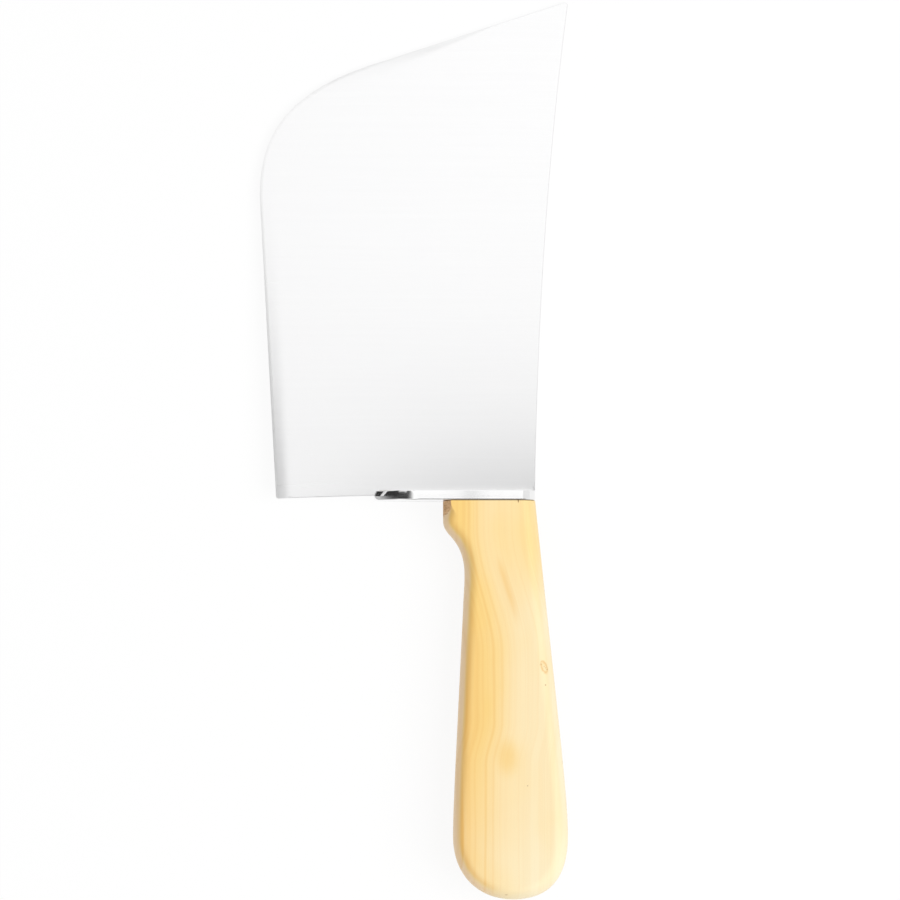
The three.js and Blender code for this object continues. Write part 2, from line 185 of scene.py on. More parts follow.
class CleaverHandleSettings(bpy.types.PropertyGroup):
    """Sizes of the wooden handle."""

    length: length("Length", "Bolster to butt", (DATUM.y - handle_low.y) / MM)
    thickness: length("Thickness", "Across the flat faces", (handle_high.z - handle_low.z) / MM)
    top_width: length("Top width", "Front to back below the bolster", (DATUM.x - handle_low.x) / MM)
    top_drop: length("Top drop", "Top of the wood below the bolster", (DATUM.y - handle_high.y) / MM)
    shoulder_drop: length("Shoulder drop", "Straight front below the top corner", 7.2)
    slant_drop: length("Slant drop", "Middle of the slant behind the shoulder", 15)
    slant_front: length("Slant front", "Front of the handle there", 28.9)
    slant_angle: angle("Slant angle", "From the handle's length", 35)
    slant_pull: share("Slant pull", "Share of the drop taken by the curve's control points", 0.45)
    grip_drop: length("Grip drop", "Where the straight grip starts", 36)
    grip_front: length("Grip front", "Front of the handle there", 26)
    grip_spread: angle("Grip spread", "Widening of the front towards the butt", 2.7)
    grip_pull: share("Grip pull", "Share of the grip taken by its upper control point", 0.58)
    waist_pull: share("Waist pull", "Share of the waist taken by its control points", 0.36)
    back_spread: angle("Back spread", "Widening of the back towards the butt", 5.9)
    back_pull: share("Back pull", "Share of the back taken by its upper control point", 0.66)
    butt_height: length("Butt height", "Rounded end below the widest place", 22.7)
    butt_front: length("Butt front", "Widest place, in front of the bolster's back", 29.8)
    butt_back: length("Butt back", "Widest place, behind the bolster's back", (handle_high.x - DATUM.x) / MM)
    butt_low: length("Butt low", "Lowest point of the butt, in front of the bolster's back", 8)
    butt_approach: share("Butt approach", "Share of the grip that bends into the widest place", 0.13)
    butt_front_fullness: share("Butt front fullness", "Fullness of the butt's front curve", 0.6)
    butt_back_fullness: share("Butt back fullness", "Fullness of the butt's back curve", 0.66)
    round_width: length("Round width", "Rounded edges, across the face", 5.4)
    round_depth: length("Round depth", "Rounded edges, down the side", 7)
    facet_width: length("Facet width", "Steep facet below the bolster, across the face", 2.9)
    facet_depth: length("Facet depth", "Steep facet below the bolster, down the side", 8)
    facet_hold: share("Facet hold", "Share of the shoulder before the facet turns into the round edge", 0.12)
    socket_clearance: length("Socket clearance", "Room round the tang, filled with resin", 1.6)


class CleaverFinishSettings(bpy.types.PropertyGroup):
    """Colours of the finishes."""

    blade_steel: colour("Blade steel", "Satin steel of the blade", 0.9, 0.9, 0.902)
    honed_steel: colour("Honed steel", "Bevel along the cutting edge", 0.92, 0.92, 0.92)
    polished_steel: colour("Polished steel", "Mirror finish of the bolster", 0.88, 0.88, 0.88)
    # The braze colour is partly the braze's own dull metal and partly painted contact shadow along the
    # bolster's top edge
    braze: colour("Braze", "Silver braze beside the blade", 0.5, 0.485, 0.44)
    wood: colour("Wood", "Boxwood of the middle of the handle", 0.95, 0.75, 0.42)
    wood_warm: colour("Warm wood", "Yellower boxwood towards the front", 0.95, 0.67, 0.225)
    wood_pale: colour("Pale wood", "Whiter boxwood towards the back and the butt", 0.95, 0.83, 0.56)
    # Painted shade: a pinker, paler tint on the front round edge, standing in for how that edge looks in the
    # shade
    shaded_side_tint: colour("Shaded side tint", "Pinker tint painted down the shaded front edge", 0.97, 0.7, 0.44)
    streak: colour("Streak", "Growth lines in the boxwood", 0.86, 0.5, 0.13)
    sawn_wood: colour("Sawn wood", "Rough facet below the bolster", 0.76, 0.46, 0.23)
    wood_mark: colour("Wood mark", "Knots and specks", 0.3, 0.15, 0.05)
    resin: colour("Resin", "Resin round the tang", 0.04725, 0.0294, 0.0147)


class CleaverStudioSettings(bpy.types.PropertyGroup):
    """Camera, floor and lights."""

    camera_distance: length("Camera distance", "Above the floor", 2000)
    picture_width: length("Picture width", "Width that the camera takes in at the blade", 326.94)
    centre_across: length("Centre across", "Middle of the picture, in front of the bolster's back", 30.88)
    centre_along: length("Centre along", "Middle of the picture, above the bolster's underside", 18.49)
    fill: share("Fill", "Strength of the white surroundings as light on matt surfaces", 0.59)
    overhead_brightness: amount("Overhead brightness", "Soft light above, added to mirrored white", 0.14)
    key_brightness: amount("Key brightness", "Light on the right, on matt surfaces only", 4.2)
    floor_glow: share("Floor glow", "Share of the floor's white that no shadow dims", 0.9)


# Outlines


Side = namedtuple("Side", "label share")
Corner = namedtuple("Corner", "at before after")
Ring = namedtuple("Ring", "lift bevel roll turn fraction extra", defaults=(0, 0, 0, 0, 0, 0))


def mix(first, second, factor):
    """Value between two numbers."""
    return first + (second - first) * factor


def smooth_share(value, low, high):
    """Smooth step from 0 at low to 1 at high."""
    part = min(max((value - low) / (high - low), 0), 1)
    return part * part * (3 - 2 * part)


def downwards(turn):
    """Direction at an angle from straight down, positive towards the spine."""
    return Vector((math.sin(turn), -math.cos(turn)))


def crossing(first, first_way, second, second_way):
    """Where the line through first along first_way meets the line through second along second_way."""
    across = second - first
    return first + first_way * (across.cross(second_way) / first_way.cross(second_way))


def on_curve(controls, part):
    """Point on the curve drawn by its control points. Two controls draw a straight line."""
    while len(controls) > 1:
        controls = [low.lerp(high, part) for low, high in zip(controls, controls[1:])]
    return controls[0]


def outline(sides):
    """Closed anticlockwise outline from (label, controls, steps) sides.

    Each corner knows the side before it and the side after it.
    """
    corners = []
    for index, (label, controls, steps) in enumerate(sides):
        for step in range(steps):
            after = Side(label, step / steps)
            before = after if step else Side(sides[index - 1][0], 1)
            corners.append(Corner(on_curve(controls, step / steps), before, after))
    return corners


def inward(start, end):
    """Unit normal to the left of a step."""
    return Vector((start.y - end.y, end.x - start.x)).normalized()


def inset_outline(corners, inset):
    """Points of an outline moved inwards, by the distance that inset gives for a side."""
    points = []
    for index, (at, before, after) in enumerate(corners):
        normal_before = inward(corners[index - 1].at, at)
        normal_after = inward(at, corners[(index + 1) % len(corners)].at)
        distance_before = inset(before)
        distance_after = inset(after)
        turn = normal_before.cross(normal_after)
        if abs(turn) < SMOOTH_TURN:
            middle = (normal_before + normal_after).normalized()
            distance = (distance_before + distance_after) / 2 / middle.dot(normal_after)
            points.append(at + middle * distance)
        else:
            shift_x = (distance_before * normal_after.y - distance_after * normal_before.y) / turn
            shift_y = (distance_after * normal_before.x - distance_before * normal_after.x) / turn
            points.append(at + Vector((shift_x, shift_y)))
    return points


# Meshes


def band_faces(count, rings):
    """Faces between rings of equal count, one after another."""
    faces = []
    for start in range(0, (rings - 1) * count, count):
        for index in range(count):
            after = (index + 1) % count
            faces.append((start + index, start + after, start + count + after, start + count + index))
    return faces


def loft(name, loops):
    """Closed mesh through loops of equal count, with a flat cap at each end."""
    count = len(loops[0])
    points = [point for loop in loops for point in loop]
    faces = band_faces(count, len(loops))
    last = len(points) - count
    faces.append(tuple(reversed(range(count))))
    faces.append(tuple(range(last, len(points))))
    mesh = bpy.data.meshes.new(name)
    mesh.from_pydata(points, [], faces)
    face_outwards(mesh)
    return mesh


def face_outwards(mesh):
    """Turn all faces of a closed mesh outwards."""
    work = bmesh.new()
    work.from_mesh(mesh)
    bmesh.ops.recalc_face_normals(work, faces=work.faces)
    work.to_mesh(mesh)
    work.free()


def scratch_object(mesh):
    """Object that holds a mesh while it is worked on."""
    holder = bpy.data.objects.new(mesh.name, mesh)
    bpy.context.scene.collection.objects.link(holder)
    return holder


def plain_mesh(holder):
    """Mesh that an object's modifiers give, with the object removed."""
    depsgraph = bpy.context.evaluated_depsgraph_get()
    depsgraph.update()
    result = bpy.data.meshes.new_from_object(holder.evaluated_get(depsgraph), depsgraph=depsgraph)
    source = holder.data
    holder.modifiers.clear()
    bpy.data.objects.remove(holder)
    bpy.data.meshes.remove(source)
    return result


def combine(mesh, other, operation):
    """Mesh joined with another (UNION) or cut by it (DIFFERENCE). Both are used up."""
    holder = scratch_object(mesh)
    tool = scratch_object(other)
    modifier = holder.modifiers.new("Combine", "BOOLEAN")
    modifier.operation = operation
    modifier.solver = "EXACT"
    modifier.object = tool
    result = plain_mesh(holder)
    bpy.data.objects.remove(tool)
    bpy.data.meshes.remove(other)
    return result


def place_piece(name, mesh, crisp_angle, node):
    """Move a finished mesh to its place in the frame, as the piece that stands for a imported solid."""
    mesh.transform(Matrix.Translation(DATUM))
    mesh.shade_smooth()
    mesh.set_sharp_from_angle(angle=crisp_angle)
    piece = bpy.data.objects.new(name, mesh)
    mesh.name = name
    bpy.context.scene.collection.objects.link(piece)
    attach(piece, "root")
    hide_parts(node)
    return piece


# Node trees


def sum_node(operation, reflected=False):
    """Operator method that adds a Math node for a value and another number, or the other way round."""

    def operator(self, other):
        operands = (other, self) if reflected else (self, other)
        return self.graph.math(operation, *operands)

    return operator


class Value:
    """A number in a node tree. Python sums on it add Math nodes."""

    __add__ = sum_node("ADD")
    __radd__ = sum_node("ADD", reflected=True)
    __sub__ = sum_node("SUBTRACT")
    __rsub__ = sum_node("SUBTRACT", reflected=True)
    __mul__ = sum_node("MULTIPLY")
    __rmul__ = sum_node("MULTIPLY", reflected=True)
    __truediv__ = sum_node("DIVIDE")
    __pow__ = sum_node("POWER")
    largest = sum_node("MAXIMUM")

    def __init__(self, graph, socket):
        self.graph = graph
        self.socket = socket

    def __abs__(self):
        return self.graph.math("ABSOLUTE", self)

    def sine(self):
        """Sine of an angle."""
        return self.graph.math("SINE", self)

    def smooth(self, low, high):
        """Smooth step from 0 at low to 1 at high."""
        settings = {"interpolation_type": "SMOOTHSTEP"}
        sockets = {"Value": self, "From Min": low, "From Max": high}
        return self.graph.value("ShaderNodeMapRange", settings, sockets, "Result")


class Graph:
    """A node tree, shader or geometry, that is being wired."""

    def __init__(self, tree):
        self.tree = tree

    def node(self, kind, settings, sockets):
        """New node with its settings, then the values or links of its sockets."""
        node = self.tree.nodes.new(kind)
        for name, setting in settings.items():
            setattr(node, name, setting)
        for name, content in sockets.items():
            self.feed(node.inputs[name], content)
        return node

    def feed(self, socket, content):
        """Link a socket or set its own value."""
        if isinstance(content, Value):
            content = content.socket
        if isinstance(content, bpy.types.NodeSocket):
            self.tree.links.new(content, socket)
        else:
            socket.default_value = content

    def value(self, kind, settings, sockets, output):
        """Number that a new node gives."""
        return Value(self, self.node(kind, settings, sockets).outputs[output])

    def math(self, operation, *operands):
        """Number that a new Math node gives."""
        return self.value("ShaderNodeMath", {"operation": operation}, dict(enumerate(operands)), 0)

    def components(self, vector):
        """The three parts of a vector."""
        parts = self.node("ShaderNodeSeparateXYZ", {}, {"Vector": vector})
        return [Value(self, output) for output in parts.outputs]

    def vector(self, x, y, z):
        """Vector from three parts."""
        return self.node("ShaderNodeCombineXYZ", {}, {"X": x, "Y": y, "Z": z}).outputs["Vector"]


# Sockets of a Mix node that blends colours
MIX_FACTOR = 0
MIX_FIRST = 6
MIX_SECOND = 7
MIX_COLOUR = 2


class Finish(Graph):
    """A material that is being wired, with the parts of its object coordinates as x, y and z."""

    def __init__(self, name):
        self.material = bpy.data.materials.new(name)
        self.material.use_nodes = True
        super().__init__(self.material.node_tree)
        self.tree.nodes.clear()
        coordinates = self.node("ShaderNodeTexCoord", {}, {})
        self.x, self.y, self.z = self.components(coordinates.outputs["Object"])

    def noise(self, grain, x=None, y=None):
        """Noise from 0 to 1 in a grain, over the object's coordinates or those given instead."""
        x = x or self.x
        y = y or self.y
        place = self.vector(x * grain.across, y * grain.along, self.z * grain.through)
        sockets = {"Vector": place, "Scale": 1.0, "Detail": grain.detail, "Roughness": grain.roughness}
        return self.value("ShaderNodeTexNoise", {"noise_dimensions": "3D"}, sockets, 0)

    def centred(self, grain, **coordinates):
        """The same noise about 0."""
        return self.noise(grain, **coordinates) - NOISE_MEAN

    def blend(self, factor, first, second, kind="MIX"):
        """Colour between two colours."""
        settings = {"data_type": "RGBA", "blend_type": kind, "clamp_factor": True}
        sockets = {MIX_FACTOR: factor, MIX_FIRST: first, MIX_SECOND: second}
        return self.node("ShaderNodeMix", settings, sockets).outputs[MIX_COLOUR]

    def shade(self, base, factor):
        """Colour made darker or lighter by a number."""
        channels = dict.fromkeys(("Red", "Green", "Blue"), factor)
        grey = self.node("ShaderNodeCombineColor", {}, channels).outputs[0]
        return self.blend(1.0, base, grey, "MULTIPLY")

    def bump(self, height, strength, distance):
        """Normal that follows a height."""
        sockets = {"Height": height, "Strength": strength, "Distance": distance}
        return self.node("ShaderNodeBump", {}, sockets).outputs["Normal"]

    def shader(self, kind, sockets):
        """Shader that a new node gives."""
        return self.node(kind, {}, sockets).outputs[0]

    def mixed(self, factor, first, second):
        """Shader between two shaders."""
        return self.shader("ShaderNodeMixShader", {0: factor, 1: first, 2: second})

    def close(self, shader):
        """Make a shader the material's surface."""
        self.node("ShaderNodeOutputMaterial", {}, {"Surface": shader})
        return self.material

    def surface(self, sockets):
        """Close the material with a principled shader."""
        return self.close(self.shader("ShaderNodeBsdfPrincipled", sockets))

    def plain(self, base, metallic, roughness, strength, depth, patterns):
        """Close a material of one colour. Each pattern adds to its tone, roughness and height."""
        totals = {"tone": 1, "roughness": roughness, "height": 0}
        for pattern, effects in patterns:
            for name, effect in effects.items():
                totals[name] = totals[name] + pattern * effect
        return self.surface({
            "Base Color": self.shade(tuple(base), totals["tone"]),
            "Metallic": metallic,
            "Roughness": totals["roughness"],
            "Normal": self.bump(totals["height"], strength, depth),
        })


# Finishes


Grain = namedtuple("Grain", "across along through detail roughness", defaults=(2.0, 0.5))

# Grains in waves per metre along X, Y and Z, with their detail and roughness
GRINDING_WAVER = Grain(22, 22, 22)
FINE_GRINDING = Grain(26, 3600, 300, 3.0, 0.6)
BROAD_GRINDING = Grain(9, 420, 90, 3.0, 0.55)
SATIN_CLOUD = Grain(30, 30, 30)
STONE_MARKS = Grain(1500, 1500, 1500, 3.0)
HONED_CLOUD = Grain(60, 60, 60)
POLISH_WAVES = Grain(90, 60, 90, 1.0)
HAIRLINES = Grain(60, 5200, 60, 2.0, 0.6)
POLISH_CLOUD = Grain(240, 240, 240, 3.0)
BRAZE_SKIN = Grain(2200, 2200, 2200, 3.0)
BRAZE_RUN = Grain(180, 400, 400)
RESIN_FILLER = Grain(900, 900, 900, 4.0)
PINHOLES = Grain(2600, 2600, 2600)
WOOD_DRIFT = Grain(40, 14, 40)
BROAD_LINES = Grain(330, 2.2, 0, 2.0, 0.6)
THIN_LINES = Grain(1000, 4, 30)
WOOD_FIBRE = Grain(2400, 55, 2400, 3.0, 0.6)
WOOD_CLOUD = Grain(55, 24, 55)
WOOD_FLECKS = Grain(1100, 1100, 1100, 3.0)
SAW_MARKS = Grain(2400, 2400, 600)
CARD_WEAVE = Grain(40, 40, 40)
NOISE_MEAN = 0.5

WAVER_HEIGHT = 1.6 * MM
FINE_GRINDING_SHARE = 0.6
SCRATCHES = (0.55, 0.75)  # stretch of the hairline noise over which a scratch comes up
HOLLOWS = (0.68, 0.75)  # the same for a pinhole


def satin_steel(colours):
    """Steel ground across the blade, with fine lines along X that waver a little."""
    finish = Finish("satin_steel")
    level = finish.y + finish.centred(GRINDING_WAVER) * WAVER_HEIGHT
    fine = finish.centred(FINE_GRINDING, y=level)
    broad = finish.centred(BROAD_GRINDING, y=level)
    patterns = [
        (mix(broad, fine, FINE_GRINDING_SHARE), {"tone": 0.07, "roughness": 0.12, "height": 1}),
        (finish.centred(SATIN_CLOUD), {"tone": 0.03, "roughness": 0.05}),
    ]
    return finish.plain(
        colours.blade_steel, metallic=1, roughness=0.3, strength=0.12, depth=0.02 * MM, patterns=patterns
    )


def honed_steel(colours):
    """Bright bevel with faint stone marks."""
    finish = Finish("honed_steel")
    patterns = [
        (finish.centred(STONE_MARKS), {"tone": 0.06, "roughness": 0.1, "height": 1}),
        (finish.centred(HONED_CLOUD), {"roughness": 0.06}),
    ]
    return finish.plain(
        colours.honed_steel, metallic=1, roughness=0.32, strength=0.06, depth=0.01 * MM, patterns=patterns
    )


def polished_steel(colours):
    """Mirror polish with slight waves and hairline scratches."""
    finish = Finish("polished_steel")
    hairs = finish.noise(HAIRLINES)
    patterns = [
        (finish.centred(POLISH_WAVES), {"height": 1}),
        (hairs - NOISE_MEAN, {"tone": 0.04, "height": 0.02}),
        (hairs.smooth(*SCRATCHES), {"roughness": 0.06}),
        (finish.centred(POLISH_CLOUD), {"roughness": 0.05}),
    ]
    return finish.plain(
        colours.polished_steel, metallic=1, roughness=0.09, strength=0.5, depth=0.05 * MM, patterns=patterns
    )


def silver_braze(colours):
    """Braze metal that froze with a slightly grainy skin."""
    finish = Finish("silver_braze")
    patterns = [
        (finish.centred(BRAZE_SKIN), {"roughness": 0.2, "height": 0.3}),
        (finish.centred(BRAZE_RUN), {"tone": 0.28, "height": 1}),
    ]
    # Its colour is partly painted contact shadow
    return finish.plain(
        colours.braze, metallic=1, roughness=0.36, strength=0.3, depth=0.05 * MM, patterns=patterns
    )


def cast_resin(colours):
    """Dark filled resin with pinholes."""
    finish = Finish("cast_resin")
    patterns = [
        (finish.centred(RESIN_FILLER), {"tone": 0.476, "roughness": 0.2, "height": 0.3}),
        (finish.noise(PINHOLES).smooth(*HOLLOWS), {"height": -1}),
    ]
    return finish.plain(
        colours.resin, metallic=0, roughness=0.52, strength=0.4, depth=0.1 * MM, patterns=patterns
    )


# Boxwood


# Marks on the upper face of the handle, in millimetres: in front of the bolster's back, below the
# bolster, half width across, half length along, then strength
WOOD_MARKS = {
    "crack": (6.2, 0.3, 0.35, 1.1, 0.9),
    "speck by the back": (-0.4, 8.6, 0.3, 1.0, 0.4),
    "speck above it": (-0.3, 7.0, 0.5, 0.5, 0.25),
    "knot fleck in front": (-2.0, 59.4, 0.35, 0.4, 0.4),
    "knot crack, upper end": (-3.1, 60.2, 0.4, 0.4, 0.3),
    "knot crack, middle": (-3.65, 60.7, 0.4, 0.4, 0.35),
    "knot crack, lower end": (-4.2, 61.3, 0.4, 0.5, 0.45),
    "speck below the knot": (-3.6, 66.9, 0.35, 0.35, 0.7),
    "grip speck": (2.9, 103.2, 0.3, 0.3, 0.6),
    "butt fleck": (10.6, 142.4, 0.9, 0.45, 0.4),
}
MARK_DEPTH = 5 * MM
KNOT = (-3.1, 60.4, 1.4, 2.6, 0.27)  # the last value is its lean, across by along
BLOTCH = (10.4, 93.0, 5.5, 9.5)

# How a mark fades from its middle, 0, to its rim, 1
MARK_FADE = (0.3, 1.0)
BLOTCH_FADE = (0.1, 1.0)
KNOT_FADE = (0.6, 1.0)
KNOT_RIM = 0.75
KNOT_RIM_FADE = (0.0, 0.4)
KNOT_RAGGEDNESS = 0.7
FLECK_RANGE = (0.2, 0.5)

# Main growth lines: distance of their sheet from the back and half width in millimetres, then strength
GROWTH_LINES = {
    "inner line": (19.0, 0.6, 0.4),
    "shoulder line": (21.5, 0.9, 0.55),
    "grip line": (24.4, 0.9, 0.55),
    "front line": (28.4, 0.7, 0.25),
}
FLAME = (14.6, 2.4, 0.42)
BROAD_LINE_RANGE = (0.48, 0.66)
THIN_LINE_RANGE = (0.5, 0.72)
LINE_STRENGTH = {"broad": 0.4, "thin": 0.45}

# Growth lines are sheets along the grip, drawn back where they pass the shoulder
SHEET_DRAW = 9.2 * MM
SHEET_RETURN = 3 * MM
SHEET_DRIFT = 3 * MM
SHEET_LEAN = 0.12

# Stretches over which the wood changes, from start to end in millimetres
WOOD_ZONES = {
    "sheets drawn back": (10, 56),
    "sheets return": (80, 96),
    "front": (16.5, 28.5),
    "off the back": (0, 12),
    "below the top": (15, 45),
    "butt": (105, 142),
    "above the side": (7.6, 9.2),
    # height where the painted shade on the round edges ends
    "above the painted edge shade": (8.5, 10),
    "off the arris": (0, 1),
    "border of the face": (26.5, 31.5),
    "flame start": (18, 28),
    "flame end": (34, 48),
    "warm front end": (80, 130),
    "sawn slant": (2.8, 6.6),
    "sawn border": (-0.1, 0.2),
    "sawn end": (5.8, 6.6),
}
# The darker line here is partly warmer wood and partly painted shade
ARRIS_HEIGHT = 9.4 * MM  # middle of the darker line where the face turns into the side, above the blade
CLOUD_RANGE = (0.45, 0.75)

# Shares of each colour in the wood, and of each shade and height
PALENESS = {"back": 0.52, "back of the side": 0.48, "butt": 0.5, "cloud": 0.4}
WARMTH = {"front": 0.82, "cloud": 0.3, "top": 0.2, "top of the back": 0.3, "blotch": 0.45}
WARMTH_LOST = {"side": 0.6, "towards the butt": 0.6}
STREAKS = {"lines": 0.2, "lines in front": 0.52, "arris_warmth_and_shade": 0.45, "border": 0.22, "blotch": 0.22}
KNOT_STREAKS = {"rim": 0.4, "inside": 0.14}
KNOT_RIM_MARK = 0.13
# Share of the painted shade tint on the front round edge
SHADED_SIDE_TINT_SHARE = 0.75
# The last brightness share is painted shade on the round edges
BRIGHTNESS = {"clean": 1.02, "fibre": 0.05, "painted edge shade": 0.1}
# Share of the painted shade on the round edges that the butt lacks
BUTT_PAINTED_SHADE_LOST = 0.6
ROUGHNESS = {"clean": 0.42, "fibre": 0.1, "saw": 0.35}
RELIEF = {"fibre": 0.25, "lines": 0.3, "marks": 2, "saw": 6}
OIL_COAT = 0.18
OIL_ROUGHNESS = 0.3

# Corner left rough from the saw: its border in front of the back, and how that slants forward
SAWN_BORDER = 30.4 * MM
SAWN_SLANT = 2.9 * MM
SAWN_RAGGEDNESS = 4 * MM
SAWN_GROUND = 0.55
SAWN_GRAIN = (0.35, 0.55)
SAWN_SPECKS = (0.5, 0.62)
SAWN_SPECK_SHARE = 0.6


class Boxwood(Finish):
    """Boxwood that is being wired, with the places on the handle that its colours follow."""

    def __init__(self, handle):
        super().__init__("boxwood")
        self.front = DATUM.x - self.x
        self.down = DATUM.y - self.y
        self.up = self.z - DATUM.z
        self.above_face = self.up - handle.thickness / 2
        draw = self.past(self.down, "sheets drawn back") * SHEET_DRAW
        draw = draw - self.past(self.down, "sheets return") * SHEET_RETURN
        drift = self.centred(WOOD_DRIFT) * SHEET_DRIFT
        self.sheet = self.front + draw + drift + self.above_face * SHEET_LEAN
        self.towards_front = self.past(self.sheet, "front")
        self.towards_back = 1 - self.past(self.front, "off the back")
        self.towards_top = 1 - self.past(self.down, "below the top")
        self.towards_butt = self.past(self.down, "butt")
        self.side = 1 - self.past(self.up, "above the side")
        self.cloud = self.noise(WOOD_CLOUD)
        self.fibre = self.noise(WOOD_FIBRE)
        self.blotch = 1 - self.spot(*BLOTCH).smooth(*BLOTCH_FADE)

    def past(self, place, zone):
        """0 before a zone of the wood, 1 past it."""
        start, end = WOOD_ZONES[zone]
        return place.smooth(start * MM, end * MM)

    def spot(self, across, along, half_width, half_length, lean=0.0):
        """Distance from a place on the upper face, 1 at its rim."""
        away_y = (self.down - along * MM) / (half_length * MM)
        away_x = (self.front - across * MM) / (half_width * MM) + away_y * (lean * half_length / half_width)
        away_z = self.above_face / MARK_DEPTH
        return (away_x * away_x + away_y * away_y + away_z * away_z) ** 0.5

    def growth_line(self, distance, half_width, strength):
        """Line along a sheet, strongest in its middle."""
        return (1 - abs(self.sheet - distance * MM).smooth(0.0, half_width * MM)) * strength

    def growth_lines(self):
        """Broad and thin lines all over, and the main ones."""
        broad = self.noise(BROAD_LINES, x=self.sheet).smooth(*BROAD_LINE_RANGE)
        thin = self.noise(THIN_LINES, x=self.sheet).smooth(*THIN_LINE_RANGE)
        lines = broad * LINE_STRENGTH["broad"] + thin * LINE_STRENGTH["thin"]
        for line in GROWTH_LINES.values():
            lines = lines.largest(self.growth_line(*line))
        return lines

    def streaks(self, lines):
        """How far the growth lines, the flame behind the shoulder and the darker borders show; the line where
        the face turns into the side is partly painted shade.
        """
        flame = self.growth_line(*FLAME) * self.past(self.down, "flame start")
        flame = flame * (1 - self.past(self.down, "flame end"))
        # Darker orange line where the face turns into the side: partly warmer wood, partly painted shade
        # where the edge turns away from the light
        arris_warmth_and_shade = (1 - self.past(abs(self.up - ARRIS_HEIGHT), "off the arris")) * self.towards_front
        border = self.past(self.sheet, "border of the face") * (1 - self.side)
        shown = lines * (STREAKS["lines"] + self.towards_front * STREAKS["lines in front"]) + flame
        shown = shown + arris_warmth_and_shade * STREAKS["arris_warmth_and_shade"] + border * STREAKS["border"]
        return shown + self.blotch * STREAKS["blotch"]

    def ground(self, colours):
        """Colour of the wood before its streaks: pale at the back and the butt, warm in front and above, with
        a painted shade tint down the front round edge.
        """
        back = self.towards_back * (1 - self.towards_top)
        paleness = back * (PALENESS["back"] + self.side * PALENESS["back of the side"])
        paleness = paleness + self.towards_butt * PALENESS["butt"]
        paleness = paleness + (self.cloud - NOISE_MEAN) * PALENESS["cloud"]
        ground = self.blend(paleness, tuple(colours.wood), tuple(colours.wood_pale))
        warmth = self.towards_front * (1 - self.side * WARMTH_LOST["side"])
        warmth = warmth * (1 - self.past(self.down, "warm front end") * WARMTH_LOST["towards the butt"])
        warmth = warmth * WARMTH["front"] + self.cloud.smooth(*CLOUD_RANGE) * WARMTH["cloud"]
        top = WARMTH["top"] + self.towards_back * WARMTH["top of the back"]
        warmth = warmth + self.towards_top * top + self.blotch * WARMTH["blotch"]
        ground = self.blend(warmth, ground, tuple(colours.wood_warm))
        # Painted shade tint down the front round edge
        return self.blend(self.side * self.towards_front * SHADED_SIDE_TINT_SHARE, ground, tuple(colours.shaded_side_tint))

    def knot(self):
        """The knot's ragged outline, 1 at its rim, and the dark flecks along the rim."""
        flecks = self.noise(WOOD_FLECKS)
        outline_share = self.spot(*KNOT) + (flecks - NOISE_MEAN) * KNOT_RAGGEDNESS
        rim = (1 - abs(outline_share - KNOT_RIM).smooth(*KNOT_RIM_FADE)) * flecks.smooth(*FLECK_RANGE)
        return outline_share, rim

    def sawn(self, saw_marks):
        """1 on the front corners below the bolster, which are left rough from the saw."""
        slant = SAWN_SLANT - (saw_marks - NOISE_MEAN) * SAWN_RAGGEDNESS
        border = SAWN_BORDER + self.past(self.down, "sawn slant") * slant
        return self.past(self.front - border, "sawn border") * (1 - self.past(self.down, "sawn end"))


def boxwood(colours, handle):
    """Pale boxwood, sanded and oiled, whose growth lines swing behind the shoulder and follow the grip."""
    finish = Boxwood(handle)
    lines = finish.growth_lines()
    knot, rim = finish.knot()
    knot_streaks = rim * KNOT_STREAKS["rim"] + (1 - knot.smooth(*KNOT_FADE)) * KNOT_STREAKS["inside"]
    wood = finish.blend(finish.streaks(lines) + knot_streaks, finish.ground(colours), tuple(colours.streak))
    # Painted shade: the handle's round edges are made darker, less towards the butt, to stand in for the
    # shade on them
    painted_edge_shade = 1 - finish.past(finish.up, "above the painted edge shade")
    painted_edge_shade = painted_edge_shade * (1 - finish.towards_butt * BUTT_PAINTED_SHADE_LOST)
    brightness = BRIGHTNESS["clean"] - finish.fibre * BRIGHTNESS["fibre"] - painted_edge_shade * BRIGHTNESS["painted edge shade"]
    wood = finish.shade(wood, brightness)

    marks = rim * KNOT_RIM_MARK
    for *place, strength in WOOD_MARKS.values():
        marks = marks.largest((1 - finish.spot(*place).smooth(*MARK_FADE)) * strength)
    wood = finish.blend(marks, wood, tuple(colours.wood_mark))

    saw_marks = finish.noise(SAW_MARKS)
    sawn = finish.sawn(saw_marks)
    sawn_share = sawn * mix(SAWN_GROUND, 1, saw_marks.smooth(*SAWN_GRAIN))
    wood = finish.blend(sawn_share, wood, tuple(colours.sawn_wood))
    specks = sawn * saw_marks.smooth(*SAWN_SPECKS) * SAWN_SPECK_SHARE
    wood = finish.blend(specks, wood, tuple(colours.wood_mark))
    height = finish.fibre * RELIEF["fibre"] + lines * RELIEF["lines"] - marks * RELIEF["marks"]
    height = height + sawn * saw_marks * RELIEF["saw"]
    roughness = ROUGHNESS["clean"] + finish.fibre * ROUGHNESS["fibre"] + sawn * ROUGHNESS["saw"]
    return finish.surface({
        "Base Color": wood,
        "Roughness": roughness,
        "Coat Weight": OIL_COAT * (1 - sawn),
        "Coat Roughness": OIL_ROUGHNESS,
        "Normal": finish.bump(height, strength=0.35, distance=0.05 * MM),
    })


# Blade


